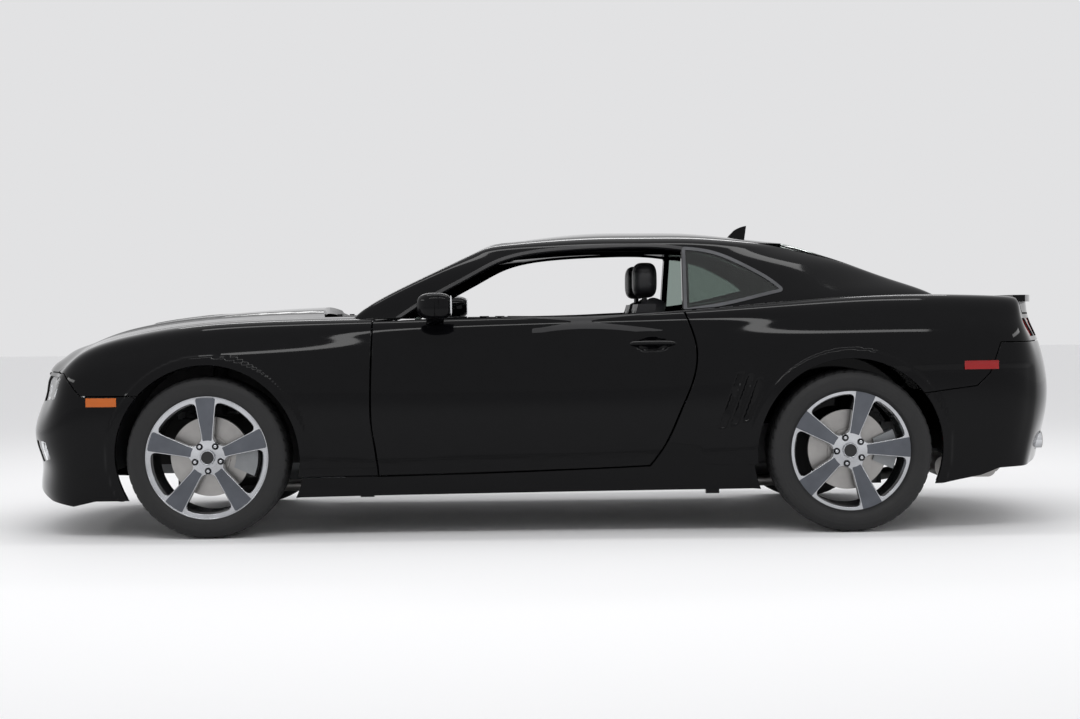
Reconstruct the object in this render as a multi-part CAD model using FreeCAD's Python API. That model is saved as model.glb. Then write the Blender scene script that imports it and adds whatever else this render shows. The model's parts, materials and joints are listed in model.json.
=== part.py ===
import FreeCAD, Part
import math
import os

# Muscle coupe, two doors, in millimetres.
# +X points forward, +Y to the left, +Z up; the origin lies on the ground under the
# middle of the bounding box.

V = FreeCAD.Vector

# Overall sizes
length = 4836.0
width = 1918.0
roof_height = 1366.0
wheelbase = 2852.0
front_overhang = 935.0
front_track = 1618.0
rear_track = 1628.0
ground_clearance = 180.0

half_length = length / 2
half_width = width / 2
front_axle_x = half_length - front_overhang
rear_axle_x = front_axle_x - wheelbase

# Sheet, gaps and cuts
skin = 10.0
bumper_skin = 12.0
hood_thickness = 22.0
roof_thickness = 24.0
pillar_depth = 52.0
glass_thickness = 6.0
glass_gap = 3.0
glass_lip = 12.0
roof_lip = 30.0
seam_gap = 4.0
door_gap = 7.5
hood_gap = 6.0
lid_gap = 11.5
seat_gap = 0.4
overrun = 400.0
clear = 6.0

# Wheels and brakes
tyre_radius = 360.0
front_tyre_width = 245.0
rear_tyre_width = 275.0
flat_tread_share = 0.336
tread_half_share = 0.41
shoulder_half_share = 0.465
tread_crown = 5.0
shoulder_drop = 30.0
tyre_bulge_radius = 312.0
rim_radius = 254.0
rim_width = 216.0
flange_radius = 278.0
flange_width = 9.0
barrel_wall = 12.0
hub_radius = 76.0
hub_face_y = 62.0
hub_outer_y = 82.0
cap_radius = 34.0
cap_depth = 15.0
spoke_count = 5
spoke_outer_width = 92.0
spoke_inner_width = 44.0
spoke_inner_radius = 60.0
spoke_face_y = 104.0
spoke_depth = 30.0
front_spoke_angle = -1.0
rear_spoke_angle = 15.0
bolt_circle = 120.0
lug_hole_radius = 9.0
lug_count = 5
disc_radius = 178.0
disc_thickness = 30.0
disc_hat_radius = 92.0
disc_hat_wall = 10.0
disc_face_offset = 22.0
arch_radius = 410.0
arch_room = 430.0
liner_thickness = 5.0
wheelhouse_wall = 14.0
wheelhouse_inner_y = 625.0
steer_offset = 60.0
axle_pin_radius = 20.0
full_turn = 360.0

front_wheel_y = front_track / 2
rear_wheel_y = rear_track / 2

# Cabin and structure
cabin_half_width = 790.0
floor_height = 205.0
floor_thickness = 14.0
tunnel_half_width = 125.0
tunnel_height = 190.0
sill_top = 262.0
sill_inner_y = 770.0
seat_bulkhead_x = -1120.0
rear_floor_height = 470.0
trunk_floor_height = 330.0
parcel_height = 985.0
wall_thickness = 16.0
trunk_wall = 60.0
kick_half_width = 744.0
pillar_front_x = 880.0
pillar_rear_x = 768.0
pillar_outer_y = 806.0
roof_half_width = 528.0
light_depth_y = 400.0

# Windscreen and rear window
screen_base_z = 980.0
screen_top_z = 1306.0
screen_base_y = 732.0
screen_top_y = 500.0
back_base_z = 1062.0
back_top_z = 1292.0
back_base_y = 540.0
back_top_y = 496.0

# Roof aerial
fin_front_x = -907.0
fin_rear_x = -1010.0
fin_top_z = 1398.0
fin_base_z = 1330.0
fin_half_width = 9.0
fin_middle_x_share = 0.5
fin_middle_z_share = 0.75
fin_heel_share = 0.1

# Door
door_inner_y = 800.0
door_skin_depth = 34.0
door_box_inset = 24.0
hinge_ahead = 80.0
hinge_depth = 45.0
hinge_pin_radius = 6.0
hinge_pin_length = 60.0
hinge_arm = 16.0
hinge_reach = 72.0
hinge_low_z = 480.0
hinge_high_z = 760.0
side_at_hinge = 941.0
pin_clearance = 0.4
door_swing_clear = 90.0

# Trunk lid, deck and tail lamps
deck_front_x = -1790.0
lid_front_x = 1938.0
lid_half_width = 592.0
lid_tongue_y = 372.0
lid_low_z = 840.0
lid_shelf_z = 962.0
tail_cut_x = -1900.0
tail_lamp_ys = [(394.0, 548.0), (574.0, 734.0)]
tail_lamp_low_z = 856.0
tail_lamp_high_z = 936.0
tail_lamp_depth = 46.0
tail_lamp_setback = 5.0

# Grilles and front lamps
grille_setback = 34.0
grille_depth = 16.0
grille_bar = 9.0
grille_frame = 12.0
grille_rows = 4
grille_columns = 9
lamp_setback = 5.0
lamp_depth = 70.0

# Rear plate seat, exhaust tips and jack pads
plate_half_width = 165.0
plate_low_z = 640.0
plate_high_z = 760.0
plate_x = -2391.0
plate_back = 12.0
plate_hole_y = 89.0
plate_hole_radius = 3.2
tip_radius = 38.0
tip_wall = 2.0
tip_y = 560.0
tip_z = 376.0
tip_bend_x = -2200.0
tip_end_x = -2300.0
jack_half = 30.0
jack_y = 830.0
jack_xs = [780.0, -760.0]
jack_face_z = 170.0


def mix(a, b, share):
    return a + (b - a) * share


# Smooth sheets through rows of places


def second_differences(values, start_flat, end_flat):
    """Second derivatives of the cubic spline through evenly spaced values."""
    n = len(values) - 1
    low = [0.0] + [1.0] * n
    mid = [4.0] * (n + 1)
    high = [1.0] * n + [0.0]
    right = [0.0] * (n + 1)
    for i in range(1, n):
        right[i] = 6 * (values[i - 1] - 2 * values[i] + values[i + 1])
    if start_flat:
        mid[0] = 2.0
        right[0] = 6 * (values[1] - values[0])
    else:
        mid[0] = 1.0
        high[0] = 0.0
    if end_flat:
        mid[n] = 2.0
        right[n] = 6 * (values[n - 1] - values[n])
    else:
        mid[n] = 1.0
        low[n] = 0.0
    for i in range(1, n + 1):
        factor = low[i] / mid[i - 1]
        mid[i] -= factor * high[i - 1]
        right[i] -= factor * right[i - 1]
    curvature = [0.0] * (n + 1)
    curvature[n] = right[n] / mid[n]
    for i in range(n - 1, -1, -1):
        curvature[i] = (right[i] - high[i] * curvature[i + 1]) / mid[i]
    return curvature


def spline_poles(values, start_flat, end_flat):
    """Poles of that spline on whole-number knots."""
    n = len(values) - 1
    m = second_differences(values, start_flat, end_flat)
    start_slope = values[1] - values[0] - (2 * m[0] + m[1]) / 6
    end_slope = values[n] - values[n - 1] + (m[n - 1] + 2 * m[n]) / 6
    inner = [values[i] - m[i] / 6 for i in range(1, n)]
    first = [values[0], values[0] + start_slope / 3]
    last = [values[n] - end_slope / 3, values[n]]
    return first + inner + last


def point_poles(points, start_mirrored, end_mirrored):
    """Poles through 3-D points; a mirrored end meets the plane y = 0 squarely."""
    xs = spline_poles([p[0] for p in points], start_mirrored, end_mirrored)
    ys = spline_poles([p[1] for p in points], False, False)
    zs = spline_poles([p[2] for p in points], start_mirrored, end_mirrored)
    return list(zip(xs, ys, zs))


def sheet_surface(rows):
    """Cubic surface through rows[k][j]; k runs nose to tail, j from below to the ridge."""
    along = [point_poles([row[j] for row in rows], True, True) for j in range(len(rows[0]))]
    across = [
        point_poles([level[i] for level in along], False, True)
        for i in range(len(along[0]))
    ]
    poles = [[V(*p) for p in line] for line in across]
    surface = Part.BSplineSurface()
    u_spans = len(rows) - 1
    v_spans = len(rows[0]) - 1
    u_mults = [4] + [1] * (u_spans - 1) + [4]
    v_mults = [4] + [1] * (v_spans - 1) + [4]
    u_knots = [float(i) for i in range(u_spans + 1)]
    v_knots = [float(i) for i in range(v_spans + 1)]
    surface.buildFromPolesMultsKnots(
        poles, u_mults, v_mults, u_knots, v_knots, False, False, 3, 3
    )
    return surface


def half_solid(rows):
    """Solid between that surface, the plane y = 0 and the flat base of level 0."""
    face = sheet_surface(rows).toShape()
    base = rows[0][0][2]
    level_edges = []
    middle_edges = []
    for edge in face.Edges:
        box = edge.BoundBox
        if box.YLength > seam_gap:
            level_edges.append(edge)
        else:
            middle_edges.append(edge)
    front = V(rows[0][0][0], 0, base)
    back = V(rows[-1][0][0], 0, base)
    chord = Part.makeLine(back, front)
    middle = Part.Face(Part.Wire(Part.__sortEdges__(middle_edges + [chord])))
    bottom = Part.Face(Part.Wire(Part.__sortEdges__(level_edges + [chord])))
    shell = Part.makeShell([face, middle, bottom])
    shell.sewShape()
    solid = Part.makeSolid(shell)
    if solid.Volume < 0:
        solid.reverse()
    return solid


def inset_rows(rows, depth):
    """The same rows moved inward along the surface normal by depth."""
    count = len(rows)
    levels = len(rows[0])

    def place(k, j):
        if k < 0:
            p = rows[-k][min(j, levels - 1)]
            return (p[0], -p[1], p[2])
        if k >= count:
            p = rows[2 * (count - 1) - k][min(j, levels - 1)]
            return (p[0], -p[1], p[2])
        if j >= levels:
            p = rows[k][2 * (levels - 1) - j]
            return (p[0], -p[1], p[2])
        return rows[k][max(j, 0)]

    moved = []
    for k in range(count):
        line = []
        for j in range(levels):
            along = V(*place(k + 1, j)) - V(*place(k - 1, j))
            across = V(*place(k, j + 1)) - V(*place(k, j - 1))
            if k == 0 or k == count - 1:
                along = V(0, 1 if k == 0 else -1, 0)
                across = V(*rows[k][j]) - V(*rows[k][max(j - 1, 0)])
                if j == 0:
                    across = V(*rows[k][1]) - V(*rows[k][0])
            normal = along.cross(across)
            normal.normalize()
            p = V(*rows[k][j])
            if j == 0:
                flat = V(normal.x, normal.y, 0)
                flat.normalize()
                q = p - flat * depth
                q.z = p.z
            else:
                q = p - normal * depth
            on_middle = k == 0 or k == count - 1 or j == levels - 1
            line.append((q.x, 0.0 if on_middle else q.y, q.z))
        moved.append(line)
    return moved


# Prisms along the three axes


def spline_edge(points):
    if len(points) == 2:
        return Part.makeLine(points[0], points[1])
    curve = Part.BSplineCurve()
    curve.interpolate(points)
    return curve.toShape()


def closed_face(stretches):
    """Face inside a ring of stretches; each is a list of places for one smooth curve."""
    edges = [spline_edge(points) for points in stretches]
    return Part.Face(Part.Wire(edges))


def side_prism(stretches, y0, y1):
    face = closed_face([[V(x, y0, z) for x, z in s] for s in stretches])
    return face.extrude(V(0, y1 - y0, 0))


def front_prism(stretches, x0, x1):
    face = closed_face([[V(x0, y, z) for y, z in s] for s in stretches])
    return face.extrude(V(x1 - x0, 0, 0))


def plan_prism(stretches, z0, z1):
    face = closed_face([[V(x, y, z0) for x, y in s] for s in stretches])
    return face.extrude(V(0, 0, z1 - z0))


def ring(points):
    """Straight stretches round a polygon."""
    return [[points[i], points[(i + 1) % len(points)]] for i in range(len(points))]


def box(x0, x1, y0, y1, z0, z1):
    corner = V(min(x0, x1), min(y0, y1), min(z0, z1))
    return Part.makeBox(abs(x1 - x0), abs(y1 - y0), abs(z1 - z0), corner)


def rod_y(x, z, radius, y0, y1):
    return Part.makeCylinder(radius, abs(y1 - y0), V(x, min(y0, y1), z), V(0, 1, 0))


def rod_z(x, y, radius, z0, z1):
    return Part.makeCylinder(radius, abs(z1 - z0), V(x, y, min(z0, z1)), V(0, 0, 1))


def rod(p, q, radius):
    direction = V(*q) - V(*p)
    return Part.makeCylinder(radius, direction.Length, V(*p), direction)


def mirrored(shape):
    return shape.mirror(V(0, 0, 0), V(0, 1, 0))


def joined(shapes):
    result = shapes[0]
    for shape in shapes[1:]:
        result = result.fuse(shape)
    return result


def biggest(shape):
    return max(shape.Solids, key=lambda solid: solid.Volume)


def both_halves(half):
    return half.fuse(mirrored(half))


# Lower body: seventeen stations from the nose round the left side to the tail

body_base = 60.0
nose_shares = [0.964, 0.9925, 0.989, 1.0, 0.982, 0.977, 0.966, 0.955, 0.939, 0.923]
tail_shares = [0.951, 0.968, 0.986, 1.0, 0.986, 0.966, 0.9615, 0.947, 0.9305, 0.916]
side_x_shares = [
    0.864, 0.744, 0.613, 0.447, 0.248, 0.0, -0.207, -0.393, -0.566, -0.724, -0.868,
]
ridge_x_shares = [
    0.923, 0.906, 0.877, 0.831, 0.744, 0.613, 0.447, 0.248, 0.0,
    -0.207, -0.393, -0.566, -0.724, -0.827, -0.873, -0.902, -0.916,
]
side_y_shares = [
    0.0, 0.42, 0.75, 0.925, 0.965, 0.985, 0.985, 0.975, 0.970,
    0.975, 0.990, 1.0, 0.985, 0.930, 0.75, 0.42, 0.0,
]
crown_y_shares = [
    0.0, 0.38, 0.66, 0.80, 0.835, 0.85, 0.86, 0.88, 0.89,
    0.89, 0.875, 0.85, 0.83, 0.79, 0.66, 0.38, 0.0,
]
crown_z_shares = [
    0.560, 0.556, 0.548, 0.606, 0.659, 0.690, 0.700, 0.703, 0.709,
    0.717, 0.736, 0.758, 0.763, 0.754, 0.747, 0.751, 0.754,
]
ridge_z_shares = [
    0.615, 0.626, 0.641, 0.665, 0.699, 0.725, 0.742, 0.747, 0.750,
    0.754, 0.758, 0.761, 0.764, 0.7635, 0.762, 0.7615, 0.761,
]
plan_drop_shares = [0.0, 0.020, 0.062]
tuck_shares = [0.10, 0.075, 0.030, 0.0, 0.008]
level_z_shares = [0.0, 0.0, 0.23, 0.49, 0.75, 0.90, 1.0]
top_mix_shares = [0.0, 0.36, 0.80, 1.0]
top_x_shares = [0.0, 0.30, 0.65, 1.0]
top_y_shares = [1.0, 0.80, 0.44, 0.0]
crown_corner_share = 0.852
shoulder_share = 0.45
last_station = len(side_y_shares) - 1
crown_level = 6


def body_x(k, j):
    """Distance along the car at side station k and side or crown level j."""
    if k <= 2:
        return half_length * (nose_shares[j] - plan_drop_shares[k])
    if k >= last_station - 2:
        return half_length * (plan_drop_shares[last_station - k] - tail_shares[j])
    if k == 3 and j == crown_level:
        return half_length * crown_corner_share
    return half_length * side_x_shares[k - 3]


def body_point(k, j):
    side_y = half_width * side_y_shares[k]
    crown_y = half_width * crown_y_shares[k]
    crown_z = roof_height * crown_z_shares[k]
    ridge_z = roof_height * ridge_z_shares[k]
    if j == 0:
        return (body_x(k, j), side_y * (1 - tuck_shares[j]), body_base)
    if j < crown_level:
        z = mix(ground_clearance, crown_z, level_z_shares[j])
        if j == crown_level - 1:
            return (body_x(k, j), mix(side_y, crown_y, shoulder_share), z)
        return (body_x(k, j), side_y * (1 - tuck_shares[j]), z)
    t = j - crown_level
    x = mix(body_x(k, crown_level), half_length * ridge_x_shares[k], top_x_shares[t])
    z = mix(crown_z, ridge_z, top_mix_shares[t])
    return (x, crown_y * top_y_shares[t], z)


body_rows = [[body_point(k, j) for j in range(10)] for k in range(last_station + 1)]

# Greenhouse: fourteen stations from the windscreen round the left side to the back

cabin_base = 880.0
screen_x_shares = [0.372, 0.352, 0.294, 0.210, 0.147, 0.112, 0.087, 0.062]
screen_z_shares = [0.0, 0.719, 0.791, 0.8675, 0.919, 0.952, 0.966, 0.975]
pillar_x_shares = [0.355, 0.327, 0.265, 0.178, 0.120, 0.079, 0.056, 0.037]
roof_z_shares = [0.0, 0.714, 0.791, 0.871, 0.930, 0.970, 0.991, 1.0]
back_x_shares = [-0.825, -0.797, -0.703, -0.600, -0.525, -0.480, -0.451, -0.421]
back_z_shares = [0.0, 0.752, 0.818, 0.8785, 0.921, 0.947, 0.960, 0.970]
back_corner_x_shares = [-0.775, -0.744, -0.662, -0.575, -0.509, -0.467, -0.442, -0.414]
pillar_y_shares = [0.875, 0.830, 0.785, 0.720, 0.655, 0.570, 0.310, 0.0]
roof_y_shares = [0.940, 0.888, 0.820, 0.740, 0.677, 0.585, 0.320, 0.0]
back_y_shares = [0.720, 0.660, 0.600, 0.560, 0.520, 0.460, 0.250, 0.0]
cabin_step_shares = [0.15, 0.33, 0.50, 0.66, 0.79, 0.90]
cabin_width_shares = [0.45, 1.0, 1.0, 0.92, 0.72, 0.42]
cabin_height_shares = [0.60, 1.0, 1.0, 0.95, 0.68, 0.32]
window_y_shares = [0.0, 0.45, 0.85]
window_drop_shares = [0.0, 0.20, 0.72]


def cabin_point(k, j):
    front_z = roof_height * screen_z_shares[j]
    top_z = roof_height * roof_z_shares[j]
    back_z = roof_height * back_z_shares[j]
    front_y = half_width * pillar_y_shares[j]
    side_y = half_width * roof_y_shares[j]
    back_y = half_width * back_y_shares[j]
    pillar_x = half_length * pillar_x_shares[j]
    corner_x = half_length * back_corner_x_shares[j]
    if k <= 2:
        x = mix(half_length * screen_x_shares[j], pillar_x, window_drop_shares[k])
        place = (x, front_y * window_y_shares[k], front_z)
    elif k == 3:
        place = (pillar_x, front_y, front_z)
    elif k < 10:
        s = k - 4
        x = mix(pillar_x, corner_x, cabin_step_shares[s])
        near_front = s < 2
        end_y = front_y if near_front else back_y
        end_z = front_z if near_front else back_z
        y = mix(end_y, side_y, cabin_width_shares[s])
        place = (x, y, mix(end_z, top_z, cabin_height_shares[s]))
    elif k == 10:
        place = (corner_x, back_y, back_z)
    else:
        w = 13 - k
        x = mix(half_length * back_x_shares[j], corner_x, window_drop_shares[w])
        place = (x, back_y * window_y_shares[w], back_z)
    if j == 0:
        return (place[0], place[1], cabin_base)
    return place


cabin_rows = [[cabin_point(k, j) for j in range(8)] for k in range(14)]

outer_body = half_solid(body_rows)
outer_cabin = half_solid(cabin_rows)
inner_body = half_solid(inset_rows(body_rows, skin))
deep_body = half_solid(inset_rows(body_rows, hood_thickness))
inner_cabin = half_solid(inset_rows(cabin_rows, pillar_depth))
glass_cabin = half_solid(inset_rows(cabin_rows, glass_thickness))
roof_cabin = half_solid(inset_rows(cabin_rows, roof_thickness))

# Lower edge of the body, seen from the side, tail to nose
edge_x_shares = [
    -1.02, -0.983, -0.967, -0.938, -0.844, -0.811, -0.738, -0.389,
    0.445, 0.826, 0.870, 0.918, 0.985, 1.02,
]
edge_z_shares = [
    0.330, 0.266, 0.2247, 0.205, 0.198, 0.176, 0.152, 0.139,
    0.127, 0.120, 0.102, 0.115, 0.158, 0.163,
]


def side_places(x_shares, z_shares):
    """Places seen from the side, from shares of the half length and the roof height."""
    return [(half_length * x, roof_height * z) for x, z in zip(x_shares, z_shares)]


nose_end = half_length + overrun
tail_end = -half_length - overrun
side_end = half_width + overrun
edge_points = side_places(edge_x_shares, edge_z_shares)
edge_ring = ring(edge_points + [(nose_end, roof_height), (tail_end, roof_height)])
edge_trim = side_prism(edge_ring, -overrun, side_end)
outer_body = outer_body.common(edge_trim)
body_skin = outer_body.cut(inner_body)
hood_skin = outer_body.cut(deep_body)


def wheel_hole(axle_x, radius, y0, y1):
    return rod_y(axle_x, tyre_radius, radius, y0, y1)


arch_holes = joined(
    [
        wheel_hole(front_axle_x, arch_radius, 0, side_end),
        wheel_hole(rear_axle_x, arch_radius, wheelhouse_inner_y, side_end),
    ]
)

# Side outlines: the door and the windows, from the left
door_front_x_shares = [0.3081, 0.3089, 0.3106, 0.3040, 0.2990]
door_front_z_shares = [0.6991, 0.5754, 0.3873, 0.2899, 0.1962]
door_bottom_x_shares = [0.2990, -0.0331, -0.1981]
door_bottom_z_shares = [0.1962, 0.2094, 0.2204]
door_rear_x_shares = [-0.1981, -0.2299, -0.2543, -0.2767, -0.2845, -0.2775, -0.2634]
door_rear_z_shares = [0.2204, 0.3045, 0.4019, 0.4985, 0.5893, 0.6545, 0.7225]
door_top_x_shares = [-0.2634, -0.1472, -0.0364, 0.1514, 0.3081]
door_top_z_shares = [0.7225, 0.7167, 0.7108, 0.7072, 0.6991]
door_front = side_places(door_front_x_shares, door_front_z_shares)
door_bottom = side_places(door_bottom_x_shares, door_bottom_z_shares)
door_rear = side_places(door_rear_x_shares, door_rear_z_shares)
door_top = side_places(door_top_x_shares, door_top_z_shares)
door_ring = [door_front, door_bottom, door_rear, door_top]
door_front_x = door_front[0][0]
door_top_z = door_front[0][1]
door_foot_x = door_bottom[0][0]

light_top_x_shares = [0.2643, 0.2072, 0.1315, 0.0744, -0.0012, -0.1141, -0.2084, -0.2672]
light_top_z_shares = [0.7035, 0.7687, 0.8411, 0.8931, 0.9231, 0.9356, 0.9370, 0.9268]
light_base_x_shares = [-0.2634, -0.1472, -0.0364, 0.1514, 0.2581]
light_base_z_shares = [0.7225, 0.7167, 0.7108, 0.7079, 0.7042]
quarter_top_x_shares = [-0.2738, -0.3027, -0.3404, -0.3871, -0.4247, -0.4467]
quarter_top_z_shares = [0.9253, 0.9195, 0.9019, 0.8624, 0.8228, 0.7906]
quarter_base_x_shares = [-0.4467, -0.3962, -0.3395, -0.2709]
quarter_base_z_shares = [0.7906, 0.7701, 0.7482, 0.7299]
light_top = side_places(light_top_x_shares, light_top_z_shares)
light_base = side_places(light_base_x_shares, light_base_z_shares)
quarter_top = side_places(quarter_top_x_shares, quarter_top_z_shares)
quarter_base = side_places(quarter_base_x_shares, quarter_base_z_shares)
light_ring = [
    light_top,
    [light_top[-1], light_base[0]],
    light_base,
    [light_base[-1], light_top[0]],
]
quarter_ring = [quarter_top, quarter_base, [quarter_base[-1], quarter_top[0]]]


def tangent_at(points, i):
    a = points[max(i - 1, 0)]
    b = points[min(i + 1, len(points) - 1)]
    size = math.hypot(b[0] - a[0], b[1] - a[1])
    return ((b[0] - a[0]) / size, (b[1] - a[1]) / size)


def corner_of(p, t, q, s):
    """Where the line through p along t meets the line through q along s."""
    cross = t[0] * s[1] - t[1] * s[0]
    run = ((q[0] - p[0]) * s[1] - (q[1] - p[1]) * s[0]) / cross
    return (p[0] + run * t[0], p[1] + run * t[1])


def grown_ring(stretches, grow):
    """The ring moved outward by grow, with its corners kept sharp."""
    area = 0.0
    for points in stretches:
        for a, b in zip(points, points[1:]):
            area += a[0] * b[1] - b[0] * a[1]
    side = grow if area > 0 else -grow
    moved = []
    for points in stretches:
        line = []
        for i, p in enumerate(points):
            t = tangent_at(points, i)
            line.append((p[0] + side * t[1], p[1] - side * t[0]))
        moved.append(line)
    for i, line in enumerate(moved):
        after = moved[(i + 1) % len(moved)]
        t = tangent_at(stretches[i], len(line) - 1)
        u = tangent_at(stretches[(i + 1) % len(moved)], 0)
        meet = corner_of(line[-1], t, after[0], u)
        line[-1] = meet
        after[0] = meet
    return moved


def grown_prism(stretches, grow, y0, y1):
    return side_prism(grown_ring(stretches, grow), y0, y1)


door_prism = side_prism(door_ring, door_inner_y, side_end)
door_box_prism = grown_prism(door_ring, -door_box_inset, door_inner_y, side_end)
door_hole = grown_prism(door_ring, door_gap, kick_half_width / 2, side_end)

model = {}


def inset_half(depth):
    return half_solid(inset_rows(body_rows, depth)).common(edge_trim)


def core_half(depth):
    """Body drawn in toward the middle of its base, by depth at nose, side and top."""
    top = max(row[-1][2] for row in body_rows)
    along = 1 - depth / half_length
    across = 1 - depth / half_width
    up = 1 - depth / (top - body_base)
    rows = [
        [(x * along, y * across, body_base + (z - body_base) * up) for x, y, z in row]
        for row in body_rows
    ]
    return half_solid(rows).common(edge_trim)


# Seams over the nose: hood and front bumper
hood_side_x_shares = [0.4032, 0.6203, 0.8271]
hood_side_y_shares = [0.7195, 0.6966, 0.6382]
hood_nose_y = 560.0
hood_rear_x = 1027.0
hood_tip_z = 740.0
hood_bow_share = 0.25
bumper_seam_z = 635.0
bumper_lamp_x = 2045.0
bumper_lamp_top_x = 2135.0
arch_lap_x = 1650.0

hood_side = [
    (half_length * x, half_width * y) for x, y in zip(hood_side_x_shares, hood_side_y_shares)
]
hood_side.append((nose_end, hood_nose_y))
hood_corner_x = hood_side[0][0]
hood_rear_y = hood_side[0][1]
hood_rear = [
    (hood_rear_x, 0),
    (mix(hood_rear_x, hood_corner_x, hood_bow_share), hood_rear_y / 2),
    (hood_corner_x, hood_rear_y),
]
hood_plan = [
    hood_rear,
    hood_side,
    [(nose_end, hood_nose_y), (nose_end, 0)],
    [(nose_end, 0), (hood_rear_x, 0)],
]
hood_region = plan_prism(hood_plan, hood_tip_z, roof_height)
hood_hole = plan_prism(grown_ring(hood_plan, hood_gap), 0, roof_height)

front_seam = ring(
    [
        (arch_lap_x, bumper_seam_z),
        (bumper_lamp_x, bumper_seam_z),
        (bumper_lamp_top_x, hood_tip_z - seam_gap),
        (nose_end, hood_tip_z - seam_gap),
        (nose_end, 0),
        (arch_lap_x, 0),
    ]
)
front_bumper_region = side_prism(front_seam, 0, side_end)
front_bumper_hole = side_prism(grown_ring(front_seam, seam_gap), 0, side_end)

# Front openings in the nose, seen from ahead
grille_low_z = 588.0
grille_high_z = 724.0
grille_half_width = 470.0
lamp_inner_y = 496.0
lamp_outer_y = 806.0
lamp_low_z = 604.0
lamp_high_z = 720.0
intake_low_z = 262.0
intake_high_z = 436.0
intake_half_width = 500.0
fog_inner_y = 600.0
fog_outer_y = 770.0
fog_low_z = 330.0
fog_high_z = 430.0
corner_slant = 40.0
nose_cut_x = 1900.0

grille_ring = ring(
    [
        (-grille_half_width, grille_low_z + corner_slant / 2),
        (-grille_half_width + corner_slant, grille_low_z),
        (grille_half_width - corner_slant, grille_low_z),
        (grille_half_width, grille_low_z + corner_slant / 2),
        (grille_half_width, grille_high_z),
        (-grille_half_width, grille_high_z),
    ]
)
intake_ring = ring(
    [
        (-intake_half_width + corner_slant, intake_low_z),
        (intake_half_width - corner_slant, intake_low_z),
        (intake_half_width, intake_high_z),
        (-intake_half_width, intake_high_z),
    ]
)


def slanted_ring(inner_y, outer_y, low_z, high_z):
    """Four-sided opening whose lower edge rises toward the fender."""
    return ring(
        [
            (inner_y, low_z),
            (outer_y, low_z + corner_slant / 2),
            (outer_y, high_z),
            (inner_y, high_z),
        ]
    )


lamp_ring = slanted_ring(lamp_inner_y, lamp_outer_y, lamp_low_z, lamp_high_z)
fog_ring = slanted_ring(fog_inner_y, fog_outer_y, fog_low_z, fog_high_z)


def nose_prism(outline, grow=0.0):
    return front_prism(grown_ring(outline, grow), nose_cut_x, nose_end)


# Doors
hinge_x = door_front_x + hinge_ahead
hinge_y = side_at_hinge - hinge_depth
hinge_heights = [hinge_low_z, hinge_high_z]
door_slab = outer_body.common(door_prism)
door_box = outer_body.common(door_box_prism)
door_left = door_slab.cut(core_half(door_skin_depth)).fuse(door_box)
door_left = door_left.cut(rod_z(hinge_x, hinge_y, door_swing_clear, 0, roof_height))


def hinge_eye(z):
    """Arm of the door: eye round the pin, then a swan neck back into the door."""
    half = hinge_pin_length / 2 - clear
    ahead = hinge_x + hinge_arm / 2
    neck_y = hinge_y - hinge_reach
    root_x = door_front_x - 2 * door_box_inset
    eye = rod_z(hinge_x, hinge_y, hinge_arm, z - half, z + half)
    leg = box(ahead - hinge_arm, ahead, neck_y - hinge_arm / 2, hinge_y, z - half, z + half)
    run = box(root_x, ahead, neck_y - hinge_arm / 2, neck_y + hinge_arm / 2, z - half, z + half)
    bore = rod_z(hinge_x, hinge_y, hinge_pin_radius + pin_clearance, 0, roof_height)
    return joined([eye, leg, run]).cut(bore)


for height in hinge_heights:
    door_left = door_left.fuse(hinge_eye(height))
model["door_left"] = biggest(door_left)

# Side of the body: sill, hinge pillar, roof rail, quarter and tail corner
house_outer_y = half_width - 3 * bumper_skin
bulkhead_back_x = seat_bulkhead_x - wall_thickness
house_rear = wheel_hole(rear_axle_x, arch_room, wheelhouse_inner_y, house_outer_y)
house_rear_wall = wheel_hole(
    rear_axle_x, arch_room + wheelhouse_wall, wheelhouse_inner_y - wheelhouse_wall, side_end
)
cabin_box = box(pillar_front_x, seat_bulkhead_x, 0, cabin_half_width, 0, cabin_base + clear)
cabin_void = cabin_box.fuse(inner_cabin).cut(house_rear_wall)
trunk_void = core_half(trunk_wall).common(
    box(bulkhead_back_x, tail_end, 0, side_end, trunk_floor_height, roof_height)
)
trunk_void = trunk_void.cut(house_rear_wall)


def window_ring(base_y, base_z, top_y, top_z):
    return ring([(-base_y, base_z), (base_y, base_z), (top_y, top_z), (-top_y, top_z)])


screen_ring = window_ring(screen_base_y, screen_base_z, screen_top_y, screen_top_z)
back_ring = window_ring(back_base_y, back_base_z, back_top_y, back_top_z)
screen_region = front_prism(screen_ring, 0, nose_end)
back_region = front_prism(back_ring, tail_end, seat_bulkhead_x)
quarter_region = side_prism(quarter_ring, light_depth_y, side_end)
light_hole = side_prism(light_ring, light_depth_y, side_end)
glass_bed = half_solid(inset_rows(cabin_rows, glass_thickness + seat_gap))


def stepped(wide, narrow):
    """Window hole whose inner edge keeps a lip for the glass to lie on."""
    return wide.cut(glass_bed.cut(narrow))


screen_hole = stepped(
    front_prism(grown_ring(screen_ring, glass_gap), 0, nose_end),
    front_prism(grown_ring(screen_ring, -glass_lip), 0, nose_end),
)
back_hole = stepped(
    front_prism(grown_ring(back_ring, glass_gap), tail_end, seat_bulkhead_x),
    front_prism(grown_ring(back_ring, -glass_lip), tail_end, seat_bulkhead_x),
)
quarter_hole = stepped(
    grown_prism(quarter_ring, glass_gap, light_depth_y, side_end),
    grown_prism(quarter_ring, -glass_lip, light_depth_y, side_end),
)

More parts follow.
